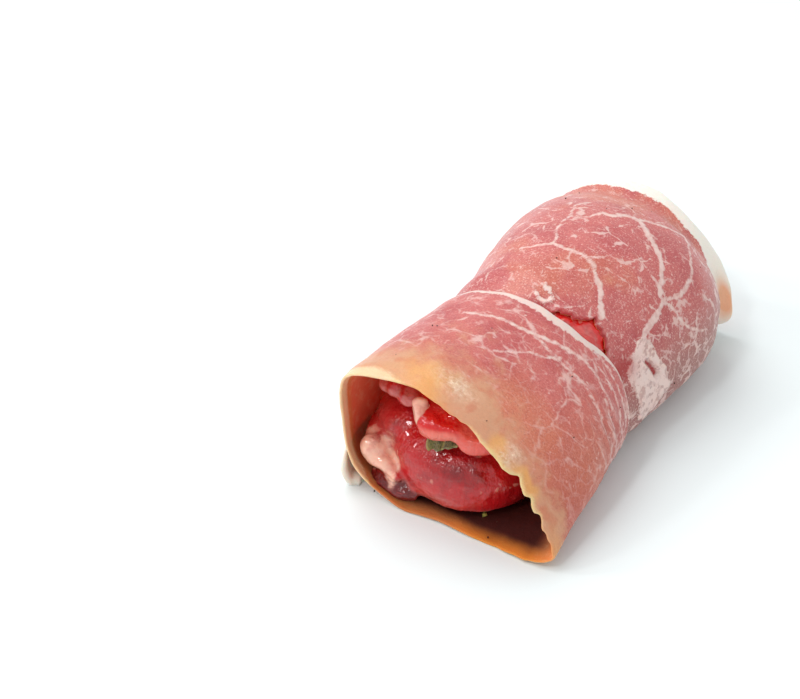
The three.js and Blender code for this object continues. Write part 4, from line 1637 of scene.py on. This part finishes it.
def ham_fat(finish, looks, place, painted, noises, kind):
    """How much the marbling, the drawn veins and the edges and patches of fat show."""
    softness = 0.16 * kind["drawn"] ** 3
    extra = painted.low * kind["low_side_weight"] * 0.22
    net = marbling(finish, place * (1.0, kind["drawn"], 1.0), looks.vein / MM, softness, extra)
    vein = (painted.vein + noises.ragged * 0.4).rise(0.3, -0.25)
    return SimpleNamespace(
        marbled=net * (1 - painted.tan * 0.3) * (1 - painted.warm * 0.4),
        vein=vein * (0.66 + noises.broken.rise(0.35, 0.6) * 0.3),
        edge=(painted.fatty + noises.ragged * 0.8).rise(0.3, -0.2),
    )


def ham_lean(finish, looks, place, painted, noises, kind):
    """The colour of the lean: pink, darker and browner low on the right side, warm near the rim, and gritty
    with fine fat and pale flecks that are partly painted sparkle.
    """
    lean = finish.mix(looks.lean, looks.lean_deep, noises.soft.rise(0.42, 0.66))
    lean = finish.mix(lean, looks.flank, painted.low * kind["low_side_weight"])
    lean = finish.mix(lean, looks.warm, painted.warm * 0.85)
    lean = finish.mix(lean, HAM_SHADES["grain"], noises.grain.rise(0.5, 0.3) * 0.5)
    # Fine fat flecks, which also stand in for the wet lean's sparkle: partly a painted highlight.
    grains, odds = finish.cell_dots(finish.push(place, 0.5, 0.25), 0.5)
    fat_flecks_and_sparkle = (grains - odds * 0.12).rise(0.15, -0.04) * odds.rise(0.1, 0.5)
    fine_fat_and_sparkle = (noises.grain.rise(0.53, 0.78) * 0.5).most(fat_flecks_and_sparkle * 0.5)
    lean = finish.mix(lean, looks.fat, fine_fat_and_sparkle * (kind["grit"] * (1 - painted.tan * 0.7)))
    return finish.mix(lean, HAM_SHADES["raw"], painted.raw)


def ham_rim(finish, looks, place, painted, noises, tone, fat_edge):
    """A tone with the rim's tan, its golden patches, and the painted highlight of its glossy, crinkled ones
    laid over it.
    """
    blotches = finish.noise(place + (9.0, 4.0, 2.0), 4.0, 3.0)
    tan = finish.mix(looks.tan, HAM_SHADES["rim"], blotches.rise(0.48, 0.66) * 0.7)
    golden = finish.mix(tan, looks.gold, (painted.gold + noises.soft * 0.8 - 0.4).rise(0.2, 0.9))
    blotchy = (painted.tan * 1.1 + (finish.noise(place, 3.6, 4.0, 0.6) - 0.5) * 1.4).rise(0.1, 1.0)
    tone = finish.mix(tone, golden, blotchy * 0.8 * (1 - fat_edge * 0.5))
    # Painted highlight: a pale, crinkled smear over the rim's glossy patches.
    painted_highlight = painted.shine * finish.noise(place, 1.6, 4.0, 0.65).rise(0.3, 0.65)
    highlight_crinkle = 0.5 + noises.crinkled.rise(0.45, 0.65) * 0.5
    return finish.mix(tone, HAM_SHADES["shine"], painted_highlight * highlight_crinkle)


def ham_inner_face(finish, looks, painted, noises):
    """The colour of the slice's inner face, from its lit edge into the shade of the mouth."""
    depth = painted.edge + (noises.soft - 0.5) * 3.0
    wall = finish.mix(HAM_SHADES["near wall"], HAM_SHADES["deep wall"], depth.rise(4.0, 7.5))
    wall = finish.mix(wall, HAM_SHADES["wall fibres"], noises.fibres.rise(0.5, 0.65) * 0.25)
    floor = finish.mix(HAM_SHADES["near floor"], looks.inside, painted.gold.rise(0.2, 0.8))
    floor = finish.mix(floor, HAM_SHADES["deep floor"], depth.rise(-0.3, 4.2))
    return finish.mix(wall, floor, painted.under)


def ham_cut_edge(finish, painted, noises):
    """The colour of the rim's pale cut edge, lighter at the left as painted light shining through it, and how
    much of it shows.
    """
    shown = (painted.lip - painted.edge - noises.ragged * 0.5).rise(0.0, 1.6) * painted.tan.rise(0.1, 0.6)
    return finish.mix(HAM_SHADES["right lip"], HAM_SHADES["left lip with painted glow"], painted.lip.rise(1.6, 2.6)), shown


def ham_finish(name, looks, kind):
    """Moist cured ham, with its fat, its rim and its inner face."""
    finish = Finish(name, subsurface=0.45, radius=(1, 0.42, 0.3), depth=2.2, coat_roughness=0.14)
    place = finish.place()
    painted = SimpleNamespace(**{value: finish.painted(value) for value in HAM_VALUES})
    noises = ham_noises(finish, place)
    fat = ham_fat(finish, looks, place, painted, noises, kind)
    fat_tone = finish.mix(looks.fat, looks.cream, painted.cream)
    tone = ham_lean(finish, looks, place, painted, noises, kind)
    net = fat.marbled * 0.8 * (1 - painted.cream * 0.6) * (1 - painted.raw * 0.8)
    tone = finish.mix(tone, fat_tone, net)
    vein = fat.vein * (1 - painted.tan * 0.5) * (1 - painted.inside * 0.7) * (1 - painted.raw * 0.7)
    tone = finish.mix(tone, fat_tone, vein)
    tone = ham_rim(finish, looks, place, painted, noises, tone, fat.edge)
    tone = finish.mix(tone, fat_tone, fat.edge * (1 - painted.raw))
    specks = painted.mottled * (noises.broken.rise(0.5, 0.7) * 0.6).most(noises.fibres.rise(0.52, 0.6))
    tone = finish.mix(tone, HAM_SHADES["patch specks"], specks * 0.5)
    tone = finish.mix(tone, HAM_SHADES["stained fat"], (painted.gold * 1.6).least(1.0) * fat.edge * 0.8)
    inner_face = ham_inner_face(finish, looks, painted, noises)
    tone = finish.mix(tone, inner_face, painted.inside * (1 - painted.cream * 0.8))
    cut_tone, cut_edge = ham_cut_edge(finish, painted, noises)
    tone = finish.mix(tone, cut_tone, cut_edge * 0.75)
    roughness = 0.5 - fat.edge * 0.06 - painted.shine * 0.2 + (noises.soft - 0.5) * 0.2
    wet = looks.wetness * (0.5 + noises.soft) * (1 - painted.inside * 0.8)
    finish.set(
        {
            "Base Color": finish.shade(tone, 0.92 + noises.grain * 0.16),
            "Roughness": roughness + painted.low * 0.08 + painted.inside * 0.15,
            "Coat Weight": wet + painted.shine * 0.5,
            "Normal": finish.bumps(
                (finish.noise(place, 0.28, 2.0, 0.6), 0.05),
                (finish.noise(place, 1.7, 3.0), 0.16),
                (fat.marbled, 0.05),
                (fat.vein, 0.08),
                (fat.edge, 0.06),
                (noises.crinkled * painted.shine, 0.5),
                (noises.crinkled * cut_edge, 0.35),
            ),
        }
    )
    return finish.material


def veal_lean(finish, looks, wandered, soft, strands):
    """The colour of the bare veal: red, coral on the lip, with a thin net of tissue."""
    net = (finish.cell_edges(wandered * (0.6, 1.0, 1.0), 3.4) - 0.08).rise(0.3, -0.05) * soft.rise(0.45, 0.65)
    red = finish.mix(looks.red, VEAL_SHADES["deep"], soft.rise(0.45, 0.7))
    red = finish.mix(red, looks.bright, finish.painted("bright"))
    red = finish.mix(red, looks.coral, finish.painted("coral") * (0.75 + (soft - 0.5) * 0.8))
    return finish.mix(red, looks.dull, (strands.rise(0.52, 0.8) * 0.22).most(net * 0.3))


def veal_tissue(finish, looks, tone, strands):
    """A tone with the dull tissue, and the dark tissue and painted shade, laid over it."""
    fibrous = strands.rise(0.35, 0.65)
    dull = (finish.painted("dull") * (0.7 + fibrous * 0.6)).least(1.0)
    tone = finish.mix(tone, looks.dull, dull * 0.7)
    dark = (finish.painted("dark") * (0.85 + fibrous * 0.5)).least(1.0)
    return finish.mix(tone, looks.dark, dark * (0.95 - strands.rise(0.55, 0.75) * 0.5))


def veal_finish(looks):
    """Wet raw veal with fat, tissue and dark patches."""
    finish = Finish(
        "raw_veal",
        subsurface=0.3,
        radius=(1, 0.25, 0.2),
        depth=2.0,
        coat_roughness=0.05,
        ior=1.42,
    )
    place = finish.place()
    wandered = finish.push(place, 3.0, 1.2)
    soft = finish.noise(place, 6.0, 3.0)
    strands = finish.noise(wandered * (0.35, 1.0, 1.1), 1.2, 3.0, 0.6)
    tone = veal_tissue(finish, looks, veal_lean(finish, looks, wandered, soft, strands), strands)
    pale = (finish.painted("pale") + (strands - 0.5) * 0.6).rise(0.25, 0.8)
    blood = finish.noise(wandered + (7.0, 2.0, 5.0), 3.0, 3.0, 0.6).rise(0.47, 0.7)
    tone = finish.mix(tone, finish.mix(looks.pale, VEAL_SHADES["blood"], blood * 0.45), pale)
    apart, chance = finish.cell_dots(wandered, 2.6)
    flecks = (apart - chance * 0.5).rise(0.25, -0.1) * chance.rise(0.55, 0.75)
    tone = finish.mix(tone, looks.pale, flecks * 0.3)
    pebbly = finish.noise(place * (1.3, 1.0, 0.8), 1.4, 2.0, 0.5)
    dimples = finish.noise(place * (1.4, 1.0, 0.7) + (4.0, 4.0, 9.0), 0.75, 1.0, 0.5)
    rough = 1 - pale * 0.7
    finish.set(
        {
            "Base Color": finish.shade(tone, 0.92 + strands * 0.16),
            "Roughness": 0.13 + pale * 0.1 + (soft - 0.5) * 0.1,
            "Coat Weight": looks.wetness * (0.6 + soft * 0.8),
            "Normal": finish.bumps(
                (finish.noise(place, 0.5, 2.0, 0.6), 0.02),
                (dimples * rough, 0.3 * finish.painted("wet") + 0.05),
                (pebbly * rough, 0.35),
                (strands * rough, 0.12),
                (soft, 0.5),
                (flecks, 0.06),
            ),
        }
    )
    return finish.material


def leaf_finish(looks):
    """A matt, furred leaf with a pebbled face, a midrib and a paler edge."""
    finish = Finish("sage_leaf_fur", subsurface=0.08, radius=(0.5, 1, 0.3), depth=0.5)
    place = finish.place()
    pebble = finish.cell_edges(finish.push(place, 1.5, 0.2), 0.75)
    veins = pebble.rise(0.16, 0.02)
    midrib = (finish.painted("midrib") - 0.25).rise(0.2, -0.1)
    rim = finish.painted("edge").rise(0.75, 0.15)
    fur = finish.noise(place, 0.16, 2.0, 0.7)
    green = finish.mix(looks.green, LEAF_DEEP, finish.noise(place, 3.0, 3.0).rise(0.4, 0.7))
    tone = finish.mix(green, looks.pale, rim.most(midrib).most(veins * 0.35) * 0.9)
    tone = finish.mix(tone, looks.pale, fur.rise(0.5, 0.75) * 0.5)
    finish.set(
        {
            "Base Color": tone,
            "Roughness": 0.86 + (fur - 0.5) * 0.1,
            "Sheen Weight": 0.3,
            "Sheen Roughness": 0.5,
            "Normal": finish.bumps((pebble, 0.35), (fur, 0.1), (midrib, -0.2)),
        }
    )
    return finish.material


def speck_finish(name, tone):
    """A rough, grainy speck, with paler grains."""
    finish = Finish(name)
    grain = finish.noise(finish.place(), 0.22, 3.0, 0.7)
    pale = tuple(min(1, channel * 2.6 + 0.02) for channel in tone)
    finish.set(
        {
            "Base Color": finish.mix(tuple(tone), pale, grain.rise(0.5, 0.75)),
            "Roughness": 0.7 + grain * 0.15,
            "Normal": finish.bumps((grain, 0.12)),
        }
    )
    return finish.material


def floor_finish(tone):
    """A plain, matt floor with the faintest unevenness of tone."""
    finish = Finish("pale_floor")
    grain = finish.noise(finish.place(), 40.0, 2.0)
    darker = tuple(channel * 0.985 for channel in tone)
    finish.set({"Base Color": finish.mix(tuple(tone), darker, grain), "Roughness": 0.85})
    return finish.material


def dress(piece, material, node=None):
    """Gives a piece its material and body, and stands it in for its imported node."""
    piece.data.materials.clear()
    piece.data.materials.append(material)
    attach(piece, BODY)
    if node:
        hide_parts(node)


# Stage

LIGHT_AIM = (0, 0, 0.015)
# The soft lights: name, azimuth and elevation in degrees, distance and size in metres, the stage's setting
# that holds its power, and its share of that.
SOFTBOXES = (
    ("key_light", -104, 60, 0.75, 0.5, "key", 1.0),
    ("fill_light", -14, 52, 0.9, 0.14, "fill", 1.0),
    ("side_light_0", -70, 38, 0.9, 0.09, "side", 0.5),
    ("side_light_1", -52, 38, 0.9, 0.09, "side", 0.5),
)
FLOOR_HALF = 1500.0
FLOOR_DROP = 0.1  # the floor lies this much lower, so that it doesn't flicker through the flat underside


def look_from(azimuth, elevation, aim, distance):
    """The matrix of a thing that looks at a point from an azimuth, an elevation and a distance."""
    flat_share = math.cos(elevation)
    back = Vector((math.sin(azimuth) * flat_share, -math.cos(azimuth) * flat_share, math.sin(elevation)))
    right = Vector((math.cos(azimuth), math.sin(azimuth), 0))
    up = back.cross(right)
    turned = Matrix((right, up, back)).transposed().to_4x4()
    return Matrix.Translation(Vector(aim) + back * distance) @ turned


def add_camera(stage):
    data = bpy.data.cameras.new("camera")
    data.lens = stage.lens
    data.sensor_width = 36
    data.sensor_fit = "HORIZONTAL"
    data.clip_start = 0.01
    camera = bpy.data.objects.new("camera", data)
    camera.matrix_world = look_from(stage.azimuth, stage.elevation, stage.aim, stage.distance)
    bpy.context.scene.collection.objects.link(camera)
    bpy.context.scene.camera = camera


def add_softbox(name, azimuth, elevation, distance, size, watts):
    """Adds a round soft light that looks at the roll."""
    data = bpy.data.lights.new(name, "AREA")
    data.shape = "DISK"
    data.size = size
    data.energy = watts
    light = bpy.data.objects.new(name, data)
    light.matrix_world = look_from(math.radians(azimuth), math.radians(elevation), LIGHT_AIM, distance)
    bpy.context.scene.collection.objects.link(light)


def add_sky(strength):
    world = bpy.data.worlds.new("studio")
    world.use_nodes = True
    background = world.node_tree.nodes["Background"]
    background.inputs["Color"].default_value = (1, 1, 1, 1)
    background.inputs["Strength"].default_value = strength
    bpy.context.scene.world = world


def add_floor(stage):
    square = np.array([(-1, -1, 0), (1, -1, 0), (1, 1, 0), (-1, 1, 0)])
    corners = square * FLOOR_HALF - (0, 0, FLOOR_DROP)
    floor = make_object("floor", corners, np.array([[0, 1, 2, 3]]))
    floor.data.materials.append(floor_finish(stage.floor))


# Operators and panel

class SALTIMBOCCA_OT_front_slice(bpy.types.Operator):
    """Makes the front slice of ham, with its orange rim"""

    bl_idname = "saltimbocca.front_slice"
    bl_label = "Front ham slice"

    def execute(self, context):
        looks = context.scene.saltimbocca_ham
        dress(make_front_slice(looks), ham_finish("ham_front", looks, FRONT_HAM), "ham_slice_front")
        return {"FINISHED"}


class SALTIMBOCCA_OT_back_slice(bpy.types.Operator):
    """Makes the back slice of ham, torn beside the front one and with thick fat at its far end"""

    bl_idname = "saltimbocca.back_slice"
    bl_label = "Back ham slice"

    def execute(self, context):
        looks = context.scene.saltimbocca_ham
        dress(make_back_slice(looks), ham_finish("ham_back", looks, BACK_HAM), "ham_slice_back")
        return {"FINISHED"}


class SALTIMBOCCA_OT_cutlet(bpy.types.Operator):
    """Makes the folded cutlet that fills the roll"""

    bl_idname = "saltimbocca.cutlet"
    bl_label = "Veal cutlet"

    def execute(self, context):
        scene = context.scene
        looks = scene.saltimbocca_veal
        cutlet = make_cutlet(looks, scene.saltimbocca_ham.thickness / MM)
        dress(cutlet, veal_finish(looks), "veal_cutlet")
        return {"FINISHED"}


class SALTIMBOCCA_OT_leaf(bpy.types.Operator):
    """Makes the sage leaf between two folds of the cutlet"""

    bl_idname = "saltimbocca.leaf"
    bl_label = "Sage leaf"

    def execute(self, context):
        looks = context.scene.saltimbocca_leaf
        dress(make_leaf(looks), leaf_finish(looks), "sage_leaf")
        return {"FINISHED"}


class SALTIMBOCCA_OT_specks(bpy.types.Operator):
    """Strews pepper over the ham and a few crumbs of sage in the mouth"""

    bl_idname = "saltimbocca.specks"
    bl_label = "Pepper and crumbs"

    def execute(self, context):
        scene = context.scene
        looks = scene.saltimbocca_specks
        pepper = make_pepper(looks, scene.saltimbocca_ham.thickness / MM)
        dress(pepper, speck_finish("pepper", looks.pepper))
        dress(make_crumbs(looks), speck_finish("sage_crumbs", looks.crumb))
        return {"FINISHED"}


class SALTIMBOCCA_OT_stage(bpy.types.Operator):
    """Sets up the floor, the studio light and the camera"""

    bl_idname = "saltimbocca.stage"
    bl_label = "Floor, light and camera"

    def execute(self, context):
        stage = context.scene.saltimbocca_stage
        add_floor(stage)
        add_sky(stage.sky)
        for name, azimuth, elevation, distance, size, setting, part in SOFTBOXES:
            add_softbox(name, azimuth, elevation, distance, size, getattr(stage, setting) * part)
        add_camera(stage)
        context.scene.view_settings.view_transform = "Standard"
        return {"FINISHED"}


class SALTIMBOCCA_PT_panel(bpy.types.Panel):
    """Lists the roll's pieces and their sizes and colours"""

    bl_idname = "SALTIMBOCCA_PT_panel"
    bl_label = "Veal Saltimbocca Roll"
    bl_space_type = "VIEW_3D"
    bl_region_type = "UI"
    bl_category = "Saltimbocca"

    def draw(self, context):
        for group, operators in PIECES:
            box = self.layout.box()
            for operator in operators:
                box.operator(operator.bl_idname)
            settings = getattr(context.scene, group)
            for name in settings.__annotations__:
                box.prop(settings, name)


PIECES = (
    ("saltimbocca_ham", (SALTIMBOCCA_OT_front_slice, SALTIMBOCCA_OT_back_slice)),
    ("saltimbocca_veal", (SALTIMBOCCA_OT_cutlet,)),
    ("saltimbocca_leaf", (SALTIMBOCCA_OT_leaf,)),
    ("saltimbocca_specks", (SALTIMBOCCA_OT_specks,)),
    ("saltimbocca_stage", (SALTIMBOCCA_OT_stage,)),
)
SETTINGS = {
    "saltimbocca_ham": SaltimboccaHam,
    "saltimbocca_veal": SaltimboccaVeal,
    "saltimbocca_leaf": SaltimboccaLeaf,
    "saltimbocca_specks": SaltimboccaSpecks,
    "saltimbocca_stage": SaltimboccaStage,
}
OPERATORS = tuple(operator for _, group in PIECES for operator in group)
CLASSES = (*SETTINGS.values(), *OPERATORS, SALTIMBOCCA_PT_panel)


def register():
    for item in CLASSES:
        bpy.utils.register_class(item)
    for name, settings in SETTINGS.items():
        setattr(bpy.types.Scene, name, PointerProperty(type=settings))


def unregister():
    for name in SETTINGS:
        delattr(bpy.types.Scene, name)
    for item in reversed(CLASSES):
        bpy.utils.unregister_class(item)


def main():
    register()
    bpy.ops.saltimbocca.stage()
    bpy.ops.saltimbocca.front_slice()
    bpy.ops.saltimbocca.back_slice()
    bpy.ops.saltimbocca.cutlet()
    bpy.ops.saltimbocca.leaf()
    bpy.ops.saltimbocca.specks()


if __name__ == "__main__":
    main()
